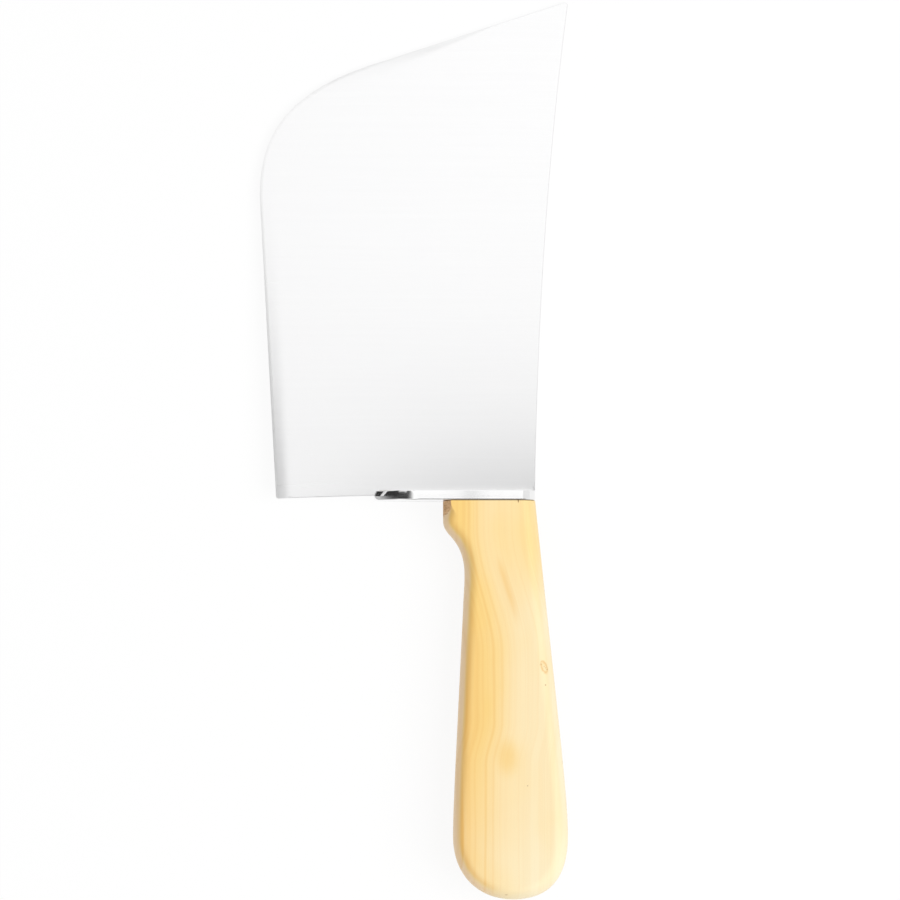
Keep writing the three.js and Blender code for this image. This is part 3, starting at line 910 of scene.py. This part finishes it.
def blade_outline(blade, bolster):
    """Blade seen from the side, anticlockwise from the heel."""
    heel = Vector((-blade.heel_depth, blade.heel_height))
    root_start = Vector((-bolster.length, bolster.seat))
    spine_foot = Vector((0, bolster.seat))
    spine_bend = Vector((blade.spine_bend_offset, blade.spine_bend_height))
    tip = Vector((blade.tip_overhang, blade.reach))
    down_edge = downwards(blade.edge_lean)
    up_front = downwards(QUARTER + blade.front_slope)
    down_spine = (spine_bend - tip).normalized()
    tip_on_spine = tip + down_spine * blade.tip_rounding
    tip_on_front = tip - up_front * blade.tip_rounding
    belly_corner = crossing(heel, down_edge, tip, up_front)
    belly_on_front = belly_corner + up_front * blade.belly_on_front
    belly_on_edge = belly_corner + down_edge * blade.belly_on_edge
    front_pull = belly_on_front - up_front * blade.belly_fullness * blade.belly_on_front
    edge_pull = belly_on_edge - down_edge * blade.belly_fullness * blade.belly_on_edge
    runout_start = belly_on_front + up_front * blade.bevel_runout
    return outline([
        ("heel", [heel, root_start], 1),
        ("root", [root_start, spine_foot], 1),
        ("spine", [spine_foot, spine_bend, tip_on_spine], SPINE_STEPS),
        ("tip", [tip_on_spine, tip, tip_on_front], TIP_STEPS),
        ("front", [tip_on_front, runout_start], 1),
        ("runout", [runout_start, belly_on_front], RUNOUT_STEPS),
        ("belly", [belly_on_front, front_pull, edge_pull, belly_on_edge], BELLY_STEPS),
        ("edge", [belly_on_edge, heel], EDGE_STEPS),
    ])


def flat_plane(blade, bolster):
    """Half thickness of the blade's flat sides as (at the datum, slope along X, slope along Y)."""
    foot = Vector((0, bolster.seat, blade.spine_thickness / 2))
    tip = Vector((blade.tip_overhang, blade.reach, blade.tip_thickness / 2))
    heel_x = -blade.heel_depth + blade.bevel_width + blade.roll_width
    heel = Vector((heel_x, blade.heel_height, blade.heel_thickness / 2))
    normal = (tip - foot).cross(heel - foot)
    slope_x = -normal.x / normal.z
    slope_y = -normal.y / normal.z
    return foot.z - slope_x * foot.x - slope_y * foot.y, slope_x, slope_y


def is_square_cut(side):
    """True for the sides that are neither ground nor eased."""
    return side.label == "root"


def is_honed(side):
    """True along the honed bevel, from the belly to the heel."""
    return side.label == "edge" or (side.label == "belly" and side.share >= HONED_FROM)


def sharpness(side):
    """How far a side is ground to an edge: 1 is sharp, 0 is square with rounded corners."""
    if side.label in ("edge", "belly"):
        return 1
    return side.share if side.label == "runout" else 0


def blade_rings():
    """Rings of the blade's section, from the middle of the edge to the flat side."""
    ground = [Ring(), Ring(lift=1)]
    for step in range(ROLL_RINGS + 1):
        turn = (step + 1) / (ROLL_RINGS + 1)
        ground.append(Ring(lift=1, bevel=1, roll=step / ROLL_RINGS, turn=turn))
    last = len(ground) - 1
    rings = [ring._replace(fraction=index / last) for index, ring in enumerate(ground)]
    rings.append(rings[-1]._replace(extra=SUPPORT))
    return rings


def half_blade(blade, corners):
    """Flat mesh of the blade's rings with what each point needs to find its height."""

    def inset(side, ring):
        if is_square_cut(side):
            return ring.extra
        ground = blade.bevel_width * ring.bevel + blade.roll_width * ring.roll
        eased = blade.easing * (1 - math.cos(ring.turn * QUARTER))
        return mix(eased, ground, sharpness(side)) + ring.extra

    rings = blade_rings()
    points = []
    for ring in rings:
        points += [point.to_3d() for point in inset_outline(corners, lambda side: inset(side, ring))]
    count = len(corners)
    faces = band_faces(count, len(rings))
    faces.append(tuple(range(len(points) - count, len(points))))
    mesh = bpy.data.meshes.new("half_blade")
    mesh.from_pydata(points, [], faces)

    squares = [is_square_cut(corner.before) and is_square_cut(corner.after) for corner in corners]
    sharps = [max(sharpness(corner.before), sharpness(corner.after)) for corner in corners]
    fields = {"square": squares * len(rings), "sharp": sharps * len(rings)}
    for name in ("lift", "bevel", "roll", "turn", "fraction"):
        fields[name] = [getattr(ring, name) for ring in rings for corner in corners]
    for name, numbers in fields.items():
        attribute = mesh.attributes.new(name, "FLOAT", "POINT")
        attribute.data.foreach_set("value", [float(number) for number in numbers])
    honed = [is_honed(corner.after) for corner in corners] * HONED_BANDS
    honed += [False] * (len(faces) - len(honed))
    mesh.attributes.new("honed", "BOOLEAN", "FACE").data.foreach_set("value", honed)
    return mesh


def blade_section_tree():
    """Node tree that gives half a blade its thickness, mirrors it and closes it along the edge."""
    tree = bpy.data.node_groups.new("Blade Section", "GeometryNodeTree")
    tree.interface.new_socket("Geometry", in_out="OUTPUT", socket_type="NodeSocketGeometry")
    tree.interface.new_socket("Geometry", in_out="INPUT", socket_type="NodeSocketGeometry")
    for name in ("Half Thickness", "Slope Across", "Slope Along", "Half Land", "Half Shoulder", "Easing"):
        tree.interface.new_socket(name, in_out="INPUT", socket_type="NodeSocketFloat")
    for name in ("Satin Steel", "Honed Steel"):
        tree.interface.new_socket(name, in_out="INPUT", socket_type="NodeSocketMaterial")

    graph = Graph(tree)
    given = graph.node("NodeGroupInput", {}, {}).outputs

    def size(name):
        return Value(graph, given[name])

    def field(name, kind="FLOAT"):
        settings = {"data_type": kind}
        return graph.value("GeometryNodeInputNamedAttribute", settings, {"Name": name}, "Attribute")

    def geometry(kind, sockets):
        return graph.node(kind, {}, sockets).outputs[0]

    position = geometry("GeometryNodeInputPosition", {})
    x, y = graph.components(position)[:2]
    flat = size("Half Thickness") + x * size("Slope Across") + y * size("Slope Along")
    land = size("Half Land")
    shoulder = size("Half Shoulder")
    rolled = mix(shoulder, flat, (field("roll") * QUARTER).sine())
    ground = mix(land, rolled, field("bevel"))
    eased = flat - size("Easing") * (1 - (field("turn") * QUARTER).sine())
    side = mix(eased, ground, field("sharp"))
    height = field("lift") * mix(side, flat * field("fraction"), field("square"))

    raised = graph.vector(x, y, height)
    upper = geometry("GeometryNodeSetPosition", {"Geometry": given["Geometry"], "Position": raised})
    mirrored = geometry("GeometryNodeTransform", {"Geometry": upper, "Scale": (1, 1, -1)})
    lower = geometry("GeometryNodeFlipFaces", {"Mesh": mirrored})
    both = graph.node("GeometryNodeJoinGeometry", {}, {})
    graph.feed(both.inputs[0], lower)
    graph.feed(both.inputs[0], upper)
    joined = {"Geometry": both.outputs[0], "Distance": MERGE_DISTANCE}
    closed = geometry("GeometryNodeMergeByDistance", joined)
    real = geometry("GeometryNodeRealizeInstances", {"Geometry": closed})
    satin = geometry("GeometryNodeSetMaterial", {"Geometry": real, "Material": given["Satin Steel"]})
    honed = field("honed", "BOOLEAN")
    sockets = {"Geometry": satin, "Selection": honed, "Material": given["Honed Steel"]}
    finished = geometry("GeometryNodeSetMaterial", sockets)
    graph.node("NodeGroupOutput", {}, {"Geometry": finished})
    return tree


def set_inputs(modifier, contents):
    """Set a node modifier's named inputs by their identifiers."""
    for item in modifier.node_group.interface.items_tree:
        if item.in_out == "INPUT" and item.name in contents:
            modifier[item.identifier] = contents[item.name]


def tang_bar(blade, handle, low, high, growth):
    """The tang between two levels, grown all round. It follows the middle of the handle."""
    tang_length = handle.length - blade.tang_cover
    back_length = handle.length - handle.butt_height

    def loop(level):
        down = -level / tang_length
        centre = mix(-handle.top_width / 2, (handle.butt_back - handle.butt_front) / 2, -level / back_length)
        half_width = mix(blade.tang_width, blade.tang_end_width, down) / 2 + growth
        half_height = mix(blade.tang_thickness, blade.tang_end_thickness, down) / 2 + growth
        corners = ((-1, -1), (-1, 1), (1, 1), (1, -1))
        return [Vector((centre + side * half_width, level, face * half_height)) for side, face in corners]

    return loft("tang_bar", [loop(low), loop(high)])


def tang_hole(blade, bolster, handle):
    """What is cut away for the tang, from below the bolster to above it."""
    return tang_bar(blade, handle, -OVERCUT, bolster.height + OVERCUT, bolster.joint_gap)


def root_block(blade, bolster, front, back, high, clearance):
    """A block round the blade's root, clear of it on both sides and below."""
    at_datum, slope_x, slope_y = flat_plane(blade, bolster)

    def loop(x):
        half_width = at_datum + slope_x * x + slope_y * bolster.seat + clearance
        low = bolster.seat - clearance
        corners = ((low, -1), (high, -1), (high, 1), (low, 1))
        return [Vector((x, level, face * half_width)) for level, face in corners]

    return loft("root_block", [loop(front), loop(back)])


def heel_cutter(blade, bolster):
    """What is cut away outside the rounded heel corner."""
    heel = Vector((-blade.heel_depth, blade.heel_height))
    up_edge = -downwards(blade.edge_lean)
    along_heel = (Vector((-bolster.length, bolster.seat)) - heel).normalized()
    on_edge = heel + up_edge * blade.heel_rounding - along_heel * CURVE_CLEARANCE
    on_heel = heel + along_heel * blade.heel_rounding - up_edge * CURVE_CLEARANCE
    section = [on_curve([on_edge, heel, on_heel], step / ROUND_STEPS) for step in range(ROUND_STEPS + 1)]
    section.append(on_heel - up_edge * OVERCUT)
    section.append(heel - (up_edge + along_heel) * OVERCUT)
    section.append(on_edge - along_heel * OVERCUT)
    levels = (-blade.spine_thickness, blade.spine_thickness)
    return loft("heel_cutter", [[Vector((*point, level)) for point in section] for level in levels])


class CLEAVER_OT_add_blade(bpy.types.Operator):
    """Build the ground blade with its honed bevel and hidden tang"""

    bl_idname = "cleaver.add_blade"
    bl_label = "Add Blade"

    def execute(self, context):
        scene = context.scene
        blade = scene.cleaver_blade
        bolster = scene.cleaver_bolster
        handle = scene.cleaver_handle
        at_datum, slope_x, slope_y = flat_plane(blade, bolster)
        holder = scratch_object(half_blade(blade, blade_outline(blade, bolster)))
        modifier = holder.modifiers.new("Section", "NODES")
        modifier.node_group = blade_section_tree()
        set_inputs(modifier, {
            "Half Thickness": at_datum,
            "Slope Across": slope_x,
            "Slope Along": slope_y,
            "Half Land": blade.edge_land / 2,
            "Half Shoulder": blade.shoulder_thickness / 2,
            "Easing": blade.easing,
            "Satin Steel": satin_steel(scene.cleaver_finish),
            "Honed Steel": honed_steel(scene.cleaver_finish),
        })
        plate = plain_mesh(holder)
        face_outwards(plate)
        tang = tang_bar(blade, handle, blade.tang_cover - handle.length, bolster.seat + blade.tang_root, 0)
        mesh = combine(plate, tang, "UNION")
        mesh = combine(mesh, heel_cutter(blade, bolster), "DIFFERENCE")
        place_piece("blade_ground", mesh, CRISP_ANGLE, "blade")
        return {"FINISHED"}


# Bolster and braze


def bolster_outline(bolster, handle, nose, flare):
    """Bolster seen from the tip as (across, along) points, from the blunt nose round by the back."""
    half_thickness = handle.thickness / 2
    curve_start = -bolster.length + bolster.nose_facet
    nose_corner = Vector((bolster.nose_width / 2, nose))
    blunt = nose_corner - Vector((bolster.nose_round, 0))
    flare_corner = Vector((bolster.nose_flare / 2, flare))
    facet = nose_corner + (flare_corner - nose_corner).normalized() * bolster.nose_round
    pull = Vector((half_thickness, curve_start + bolster.nose_pull))
    side = Vector((half_thickness, curve_start + bolster.nose_curve))
    corner = Vector((half_thickness, 0))
    corner_front = Vector((half_thickness, -handle.round_width))
    corner_back = Vector((half_thickness - handle.round_depth, 0))
    front_pull = corner_front.lerp(corner, QUARTER_PULL)
    back_pull = corner_back.lerp(corner, QUARTER_PULL)

    def opposite(controls):
        return [Vector((-point.x, point.y)) for point in reversed(controls)]

    right = [
        ("round", [blunt, nose_corner, facet], ROUND_STEPS),
        ("facet", [facet, flare_corner], 1),
        ("curve", [flare_corner, pull, side], NOSE_STEPS),
        ("side", [side, corner_front], 1),
        ("corner", [corner_front, front_pull, back_pull, corner_back], CORNER_STEPS),
    ]
    left = [(label, opposite(controls), steps) for label, controls, steps in reversed(right)]
    blunt_end = ("nose", [*opposite([blunt]), blunt], 1)
    back = ("back", [corner_back, *opposite([corner_back])], 1)
    return outline([blunt_end, *right, back, *left])


def nose_at(bolster, level):
    """Blunt end and flare of the nose at a level: a rounded foot, then a lean back to the top."""
    foot = bolster.nose_foot
    rise = max(level - foot, 0) / (bolster.height - foot)
    below = max(foot - level, 0)
    rounding = foot - math.sqrt(foot * foot - below * below)
    blunt = -bolster.length + bolster.nose_draft * rise + rounding
    flare = -bolster.length + bolster.nose_facet + bolster.flare_draft * rise
    return blunt, flare


def bolster_block(bolster, handle):
    """The bolster before it is slotted, with rounded edges above and below."""

    def loop(level, inset):
        points = inset_outline(bolster_outline(bolster, handle, *nose_at(bolster, level)), lambda side: inset)
        return [Vector((point.y, level, point.x)) for point in points]

    lower = []
    upper = []
    for step in range(EASING_STEPS + 1):
        turn = QUARTER * step / EASING_STEPS
        level = bolster.easing * (1 - math.cos(turn))
        inset = bolster.easing * (1 - math.sin(turn))
        lower.append(loop(level, inset))
        upper.append(loop(bolster.height - level, inset))
    wall = bolster.nose_foot - bolster.easing
    foot = [loop(bolster.easing + wall * (step + 1) / FOOT_STEPS, 0) for step in range(FOOT_STEPS)]
    return loft("bolster_block", lower + foot + upper[::-1])


class CLEAVER_OT_add_bolster(bpy.types.Operator):
    """Build the polished bolster with its slot for the blade and its hole for the tang"""

    bl_idname = "cleaver.add_bolster"
    bl_label = "Add Bolster"

    def execute(self, context):
        scene = context.scene
        blade = scene.cleaver_blade
        bolster = scene.cleaver_bolster
        handle = scene.cleaver_handle
        past_nose = -bolster.length - OVERCUT
        past_top = bolster.height + OVERCUT
        slot = root_block(blade, bolster, past_nose, OVERCUT, past_top, bolster.slot_clearance)
        mesh = bolster_block(bolster, handle)
        mesh.materials.append(polished_steel(scene.cleaver_finish))
        mesh = combine(mesh, slot, "DIFFERENCE")
        mesh = combine(mesh, tang_hole(blade, bolster, handle), "DIFFERENCE")
        place_piece("bolster_polished", mesh, BOLSTER_CRISP_ANGLE, "bolster")
        return {"FINISHED"}


def braze_channel(blade, bolster):
    """Braze under and beside the blade's root, drawn up in a hollow curve along the blade."""
    at_datum, slope_x, slope_y = flat_plane(blade, bolster)
    outside = bolster.slot_clearance - bolster.braze_play
    inside = bolster.braze_play

    def loop(x):
        half_root = at_datum + slope_x * x + slope_y * bolster.seat
        outer = Vector((bolster.height, half_root + outside))
        foot = Vector((bolster.height, half_root + inside))
        inner = Vector((bolster.height + bolster.braze_rise, half_root + inside))
        hollow = [on_curve([outer, foot, inner], step / MENISCUS_STEPS) for step in range(MENISCUS_STEPS + 1)]
        low_outer = Vector((bolster.seat - outside, half_root + outside))
        low_inner = Vector((bolster.seat - inside, half_root + inside))
        right = [low_outer, *hollow, low_inner]
        left = [Vector((point.x, -point.y)) for point in reversed(right)]
        return [Vector((x, point.x, point.y)) for point in right + left]

    front = -bolster.length + bolster.flare_draft + bolster.easing
    return loft("braze_channel", [loop(front), loop(-bolster.easing)])


class CLEAVER_OT_add_braze(bpy.types.Operator):
    """Build the braze that fills the bolster's slot round the blade's root"""

    bl_idname = "cleaver.add_braze"
    bl_label = "Add Braze"

    def execute(self, context):
        scene = context.scene
        blade = scene.cleaver_blade
        bolster = scene.cleaver_bolster
        mesh = braze_channel(blade, bolster)
        mesh.materials.append(silver_braze(scene.cleaver_finish))
        mesh = combine(mesh, tang_hole(blade, bolster, scene.cleaver_handle), "DIFFERENCE")
        place_piece("braze_fillet", mesh, CRISP_ANGLE, "braze_seam")
        return {"FINISHED"}


# Handle


def handle_outline(handle):
    """Handle seen from the side, anticlockwise from the back of its top."""
    back_length = handle.length - handle.butt_height
    grip_length = back_length - handle.grip_drop
    top_back = Vector((0, -handle.top_drop))
    top_front = Vector((-handle.top_width, -handle.top_drop))
    shoulder = Vector((-handle.top_width, -handle.shoulder_drop))
    slant = Vector((-handle.slant_front, -handle.slant_drop))
    grip = Vector((-handle.grip_front, -handle.grip_drop))
    butt_front = Vector((-handle.butt_front, -back_length))
    butt_low = Vector((-handle.butt_low, -handle.length))
    butt_back = Vector((handle.butt_back, -back_length))
    down = downwards(0)
    down_slant = downwards(handle.slant_angle)
    down_grip = downwards(-handle.grip_spread)
    down_back = downwards(handle.back_spread)
    slant_pull = handle.slant_pull * (handle.slant_drop - handle.shoulder_drop)
    waist_pull = handle.waist_pull * (handle.grip_drop - handle.slant_drop)
    front_full = handle.butt_front_fullness
    back_full = handle.butt_back_fullness
    low_front = Vector((mix(-handle.butt_low, -handle.butt_front, front_full), -handle.length))
    low_back = Vector((mix(-handle.butt_low, handle.butt_back, back_full), -handle.length))
    shoulder_curve = [shoulder, shoulder + down * slant_pull, slant - down_slant * slant_pull, slant]
    waist_curve = [slant, slant + down_slant * waist_pull, grip - down_grip * waist_pull, grip]
    grip_curve = [
        grip,
        grip + down_grip * handle.grip_pull * grip_length,
        butt_front - down * handle.butt_approach * grip_length,
        butt_front,
    ]
    butt_front_curve = [butt_front, butt_front + down * front_full * handle.butt_height, low_front, butt_low]
    butt_back_curve = [butt_low, low_back, butt_back + down * back_full * handle.butt_height, butt_back]
    back_curve = [
        butt_back,
        butt_back - down * handle.butt_approach * back_length,
        top_back + down_back * handle.back_pull * back_length,
        top_back,
    ]
    return outline([
        ("top", [top_back, top_front], 1),
        ("shoulder", [top_front, shoulder], SHOULDER_STEPS),
        ("front", shoulder_curve, HANDLE_STEPS // 2),
        ("front", waist_curve, HANDLE_STEPS // 2),
        ("front", grip_curve, HANDLE_STEPS),
        ("butt", butt_front_curve, HANDLE_STEPS),
        ("butt", butt_back_curve, HANDLE_STEPS),
        ("back", back_curve, HANDLE_STEPS),
    ])


def facet_share(handle, side):
    """How far an edge is a steep facet instead of a round: all of it at the top of the shoulder."""
    return 1 - smooth_share(side.share, handle.facet_hold, 1) if side.label == "shoulder" else 0


def handle_block(handle):
    """The handle before its socket is cut, with round edges and a steep facet beside the shoulder."""
    corners = handle_outline(handle)
    half_thickness = handle.thickness / 2

    def inset(side, level, extra):
        if side.label == "top":
            return extra
        round_inset = handle.round_width * (1 - math.cos(level * QUARTER))
        return mix(round_inset, handle.facet_width * level, facet_share(handle, side)) + extra

    def height(side, level):
        round_height = half_thickness - handle.round_depth * (1 - math.sin(level * QUARTER))
        facet_height = half_thickness - handle.facet_depth * (1 - level)
        return mix(round_height, facet_height, facet_share(handle, side))

    def loop(level, extra, face):
        points = inset_outline(corners, lambda side: inset(side, level, extra))
        heights = [face * height(corner.after, level) for corner in corners]
        return [Vector((point.x, point.y, z)) for point, z in zip(points, heights)]

    levels = [(step / ROUND_RINGS, 0) for step in range(ROUND_RINGS + 1)] + [(1, SUPPORT)]
    lower = [loop(level, extra, -1) for level, extra in reversed(levels)]
    upper = [loop(level, extra, 1) for level, extra in levels]
    return loft("handle_block", lower + upper)


class CLEAVER_OT_add_handle(bpy.types.Operator):
    """Build the boxwood handle with the socket that takes the tang"""

    bl_idname = "cleaver.add_handle"
    bl_label = "Add Handle"

    def execute(self, context):
        scene = context.scene
        blade = scene.cleaver_blade
        handle = scene.cleaver_handle
        clearance = handle.socket_clearance
        socket = tang_bar(blade, handle, blade.tang_cover - handle.length - clearance, OVERCUT, clearance)
        mesh = handle_block(handle)
        mesh.materials.append(boxwood(scene.cleaver_finish, handle))
        mesh = combine(mesh, socket, "DIFFERENCE")
        place_piece("handle_boxwood", mesh, CRISP_ANGLE, "handle")
        return {"FINISHED"}


class CLEAVER_OT_finish_resin(bpy.types.Operator):
    """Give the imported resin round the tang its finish"""

    bl_idname = "cleaver.finish_resin"
    bl_label = "Finish Resin"

    def execute(self, context):
        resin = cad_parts["tang_resin"]
        resin.data.materials.clear()
        resin.data.materials.append(cast_resin(context.scene.cleaver_finish))
        return {"FINISHED"}


# Studio


FLOOR_SIZE = 6.0
FLOOR_WHITE = (0.96, 0.96, 0.96, 1)
WHITE = (1, 1, 1, 1)
SENSOR_WIDTH = 36  # millimetres, as a camera counts it
CAMERA_REACH = 20.0

# Lamps in the studio's own axes, in metres: place, size
OVERHEAD_LIGHT = ((0.1, 0.35, 1.3), 1.3)
KEY_LIGHT = ((0.95, -0.2, 1.45), 1.2)

# Cards in the same axes, in metres: centre, half across, half along, then density
CARDS = {
    "shade_card": ((0.185, -0.172, 0.26), (0.216, 0, 0), (0, 0.168, 0), 1),
    "nose_card": ((-0.25, 0.034, 0.25), (0, 0.036, 0), (0, 0, 0.25), 1),
    "nose_end_card": ((-0.25, 0.05, 0.9), (0, 0.07, 0), (0, 0, 0.4), 1),
    "curve_card": ((-0.25, 0.074, 0.12), (0, 0.076, 0), (0, 0, 0.12), 1),
    "facet_card": ((-0.25, 0.21, 0.1625), (0, 0.06, 0), (0, 0, 0.0775), 1),
    "foot_card": ((-0.25, -0.151, 0.12), (0, 0.149, 0), (0, 0, 0.12), 0.45),
    "front_card": ((-0.1225, 0.39, 0.5), (0.0225, 0, 0), (0, 0.08, 0), 1),
    "heel_card": ((-0.065, -0.3, 0.3), (0.035, 0, 0), (0, 0, 0.3), 1),
    "patch_card": ((0.0136, 0.0125, 0.3), (0.006, 0, 0), (0, 0.03, 0), 0.22),
    "back_card": ((0.3, 0.05, 0.3), (0, 0.25, 0), (0, 0, 0.3), 0.1),
}
CARD_GREY = (0.035, 0.035, 0.035, 1)
CARD_UNEVENNESS = 0.2
CARD_FADE = (0.5, 1.3)  # heights between which a card fades out


def studio_matrix(scene):
    """Frame of the studio: origin in the blade, X right, Y up the picture, Z to the camera.

    The cleaver rests on its tip and on the edge of the bolster beside the blade, so the floor is not
    quite level with the blade.
    """
    rest = resting_edge(scene)
    tip_level = DATUM.z - scene.cleaver_blade.tip_thickness / 2
    tip = Vector((0, blade_high.y - scene.cleaver_blade.easing, tip_level))
    tilt = math.atan2(tip.z - rest.z, tip.y - rest.y)
    studio = scene.cleaver_studio
    centre = DATUM + Vector((-studio.centre_across, studio.centre_along, 0))
    return Matrix.Translation(centre) @ Matrix.Rotation(tilt, 4, "X")


def resting_edge(scene):
    """Point of the bolster's edge that rests on the floor, beside the blade."""
    return Vector((0, bolster_high.y - scene.cleaver_bolster.easing, handle_low.z))


def seen_directly(graph):
    """1 for rays from the camera, from mirrors and through glass, 0 for light on matt surfaces."""
    rays = graph.node("ShaderNodeLightPath", {}, {}).outputs
    camera, glossy, through = (
        Value(graph, rays[name]) for name in ("Is Camera Ray", "Is Glossy Ray", "Is Transmission Ray")
    )
    return camera.largest(glossy).largest(through)


def floor_material(studio):
    """White floor that glows for the camera and in mirrors, and dims where the cleaver shades it."""
    finish = Finish("white_floor")
    matt = finish.shader("ShaderNodeBsdfDiffuse", {"Color": FLOOR_WHITE})
    glow = finish.shader("ShaderNodeEmission", {"Color": WHITE, "Strength": 1.0})
    upper = finish.mixed(seen_directly(finish) * studio.floor_glow, matt, glow)
    clear = finish.shader("ShaderNodeBsdfTransparent", {})
    below = finish.node("ShaderNodeNewGeometry", {}, {}).outputs["Backfacing"]
    finish.material.cycles.emission_sampling = "NONE"
    return finish.close(finish.mixed(below, upper, clear))


def card_material(name, density):
    """Dark matt card with a soft upper end. A thin one lets most of the light through."""
    finish = Finish(name)
    grey = finish.shade(CARD_GREY, 1 + finish.centred(CARD_WEAVE) * CARD_UNEVENNESS)
    matt = finish.shader("ShaderNodeBsdfDiffuse", {"Color": grey})
    clear = finish.shader("ShaderNodeBsdfTransparent", {})
    cover = (1 - finish.z.smooth(*CARD_FADE)) * density
    return finish.close(finish.mixed(cover, clear, matt))


def add_sheet(name, studio, centre, across, along, material):
    """Flat stage sheet that reaches from its centre by across and by along, both ways."""
    centre = Vector(centre)
    across = Vector(across)
    along = Vector(along)
    signs = ((-1, -1), (1, -1), (1, 1), (-1, 1))
    corners = [studio @ (centre + across * right + along * top) for right, top in signs]
    mesh = bpy.data.meshes.new(name)
    mesh.from_pydata(corners, [], [(0, 1, 2, 3)])
    mesh.materials.append(material)
    sheet = bpy.data.objects.new(name, mesh)
    bpy.context.scene.collection.objects.link(sheet)
    return sheet


def add_card(name, studio, centre, across, along, material):
    """Card that shows in the steel, but not to the camera, and that shades nothing."""
    card = add_sheet(name, studio, centre, across, along, material)
    card.visible_camera = False
    card.visible_diffuse = False
    card.visible_shadow = False


def add_lamp(name, studio, place, size, brightness):
    """Square soft light that faces the middle of the picture and is as bright as a glowing sheet."""
    light = bpy.data.lights.new(name, "AREA")
    light.shape = "SQUARE"
    light.size = size
    light.energy = brightness * math.pi * size * size
    lamp = bpy.data.objects.new(name, light)
    aim = (-Vector(place)).to_track_quat("-Z", "Y").to_matrix().to_4x4()
    lamp.matrix_world = studio @ Matrix.Translation(place) @ aim
    lamp.visible_camera = False
    bpy.context.scene.collection.objects.link(lamp)
    return lamp


def add_world(scene):
    """White surroundings, weaker as light on matt surfaces."""
    world = bpy.data.worlds.new("white_studio")
    world.use_nodes = True
    graph = Graph(world.node_tree)
    graph.tree.nodes.clear()
    fill = scene.cleaver_studio.fill
    strength = fill + seen_directly(graph) * (1 - fill)
    sky = graph.node("ShaderNodeBackground", {}, {"Color": WHITE, "Strength": strength}).outputs[0]
    graph.node("ShaderNodeOutputWorld", {}, {"Surface": sky})
    scene.world = world


def add_camera(scene, studio):
    """Camera square above the floor, with the framing of the photograph."""
    settings = scene.cleaver_studio
    camera = bpy.data.objects.new("camera", bpy.data.cameras.new("camera"))
    camera.data.sensor_width = SENSOR_WIDTH
    camera.data.lens = SENSOR_WIDTH * settings.camera_distance / settings.picture_width
    camera.data.clip_end = CAMERA_REACH
    camera.matrix_world = studio @ Matrix.Translation((0, 0, settings.camera_distance))
    scene.collection.objects.link(camera)
    scene.camera = camera


class CLEAVER_OT_add_studio(bpy.types.Operator):
    """Add the camera, white floor, soft lights and dark cards"""

    bl_idname = "cleaver.add_studio"
    bl_label = "Add Studio"

    def execute(self, context):
        scene = context.scene
        settings = scene.cleaver_studio
        studio = studio_matrix(scene)
        add_camera(scene, studio)
        add_world(scene)
        floor_level = (studio.inverted() @ resting_edge(scene)).z
        floor = floor_material(settings)
        add_sheet("floor", studio, (0, 0, floor_level), (FLOOR_SIZE / 2, 0, 0), (0, FLOOR_SIZE / 2, 0), floor)
        for name, (centre, across, along, density) in CARDS.items():
            add_card(name, studio, centre, across, along, card_material(name, density))
        add_lamp("overhead_light", studio, *OVERHEAD_LIGHT, settings.overhead_brightness)
        key = add_lamp("key_light", studio, *KEY_LIGHT, settings.key_brightness)
        key.visible_glossy = False
        scene.view_settings.view_transform = "Standard"
        return {"FINISHED"}


# Panel and registration


class CLEAVER_PT_build(bpy.types.Panel):
    """Lists the pieces of the cleaver in the order they are built."""

    bl_label = "Kitchen Cleaver"
    bl_idname = "CLEAVER_PT_build"
    bl_space_type = "VIEW_3D"
    bl_region_type = "UI"
    bl_category = "Cleaver"

    def draw(self, context):
        for operator in OPERATORS:
            self.layout.operator(operator.bl_idname)


OPERATORS = (
    CLEAVER_OT_add_blade,
    CLEAVER_OT_add_bolster,
    CLEAVER_OT_add_braze,
    CLEAVER_OT_add_handle,
    CLEAVER_OT_finish_resin,
    CLEAVER_OT_add_studio,
)

SETTINGS = {
    "cleaver_blade": CleaverBladeSettings,
    "cleaver_bolster": CleaverBolsterSettings,
    "cleaver_handle": CleaverHandleSettings,
    "cleaver_finish": CleaverFinishSettings,
    "cleaver_studio": CleaverStudioSettings,
}


def register():
    """Register the settings, operators and panel."""
    for cls in (*SETTINGS.values(), *OPERATORS, CLEAVER_PT_build):
        bpy.utils.register_class(cls)
    for name, group in SETTINGS.items():
        setattr(bpy.types.Scene, name, PointerProperty(type=group))


def unregister():
    """Undo register."""
    for name in SETTINGS:
        delattr(bpy.types.Scene, name)
    for cls in reversed((*SETTINGS.values(), *OPERATORS, CLEAVER_PT_build)):
        bpy.utils.unregister_class(cls)


def main():
    """Build every piece and the studio."""
    register()
    bpy.ops.cleaver.add_blade()
    bpy.ops.cleaver.add_bolster()
    bpy.ops.cleaver.add_braze()
    bpy.ops.cleaver.add_handle()
    bpy.ops.cleaver.finish_resin()
    bpy.ops.cleaver.add_studio()


if __name__ == "__main__":
    main()
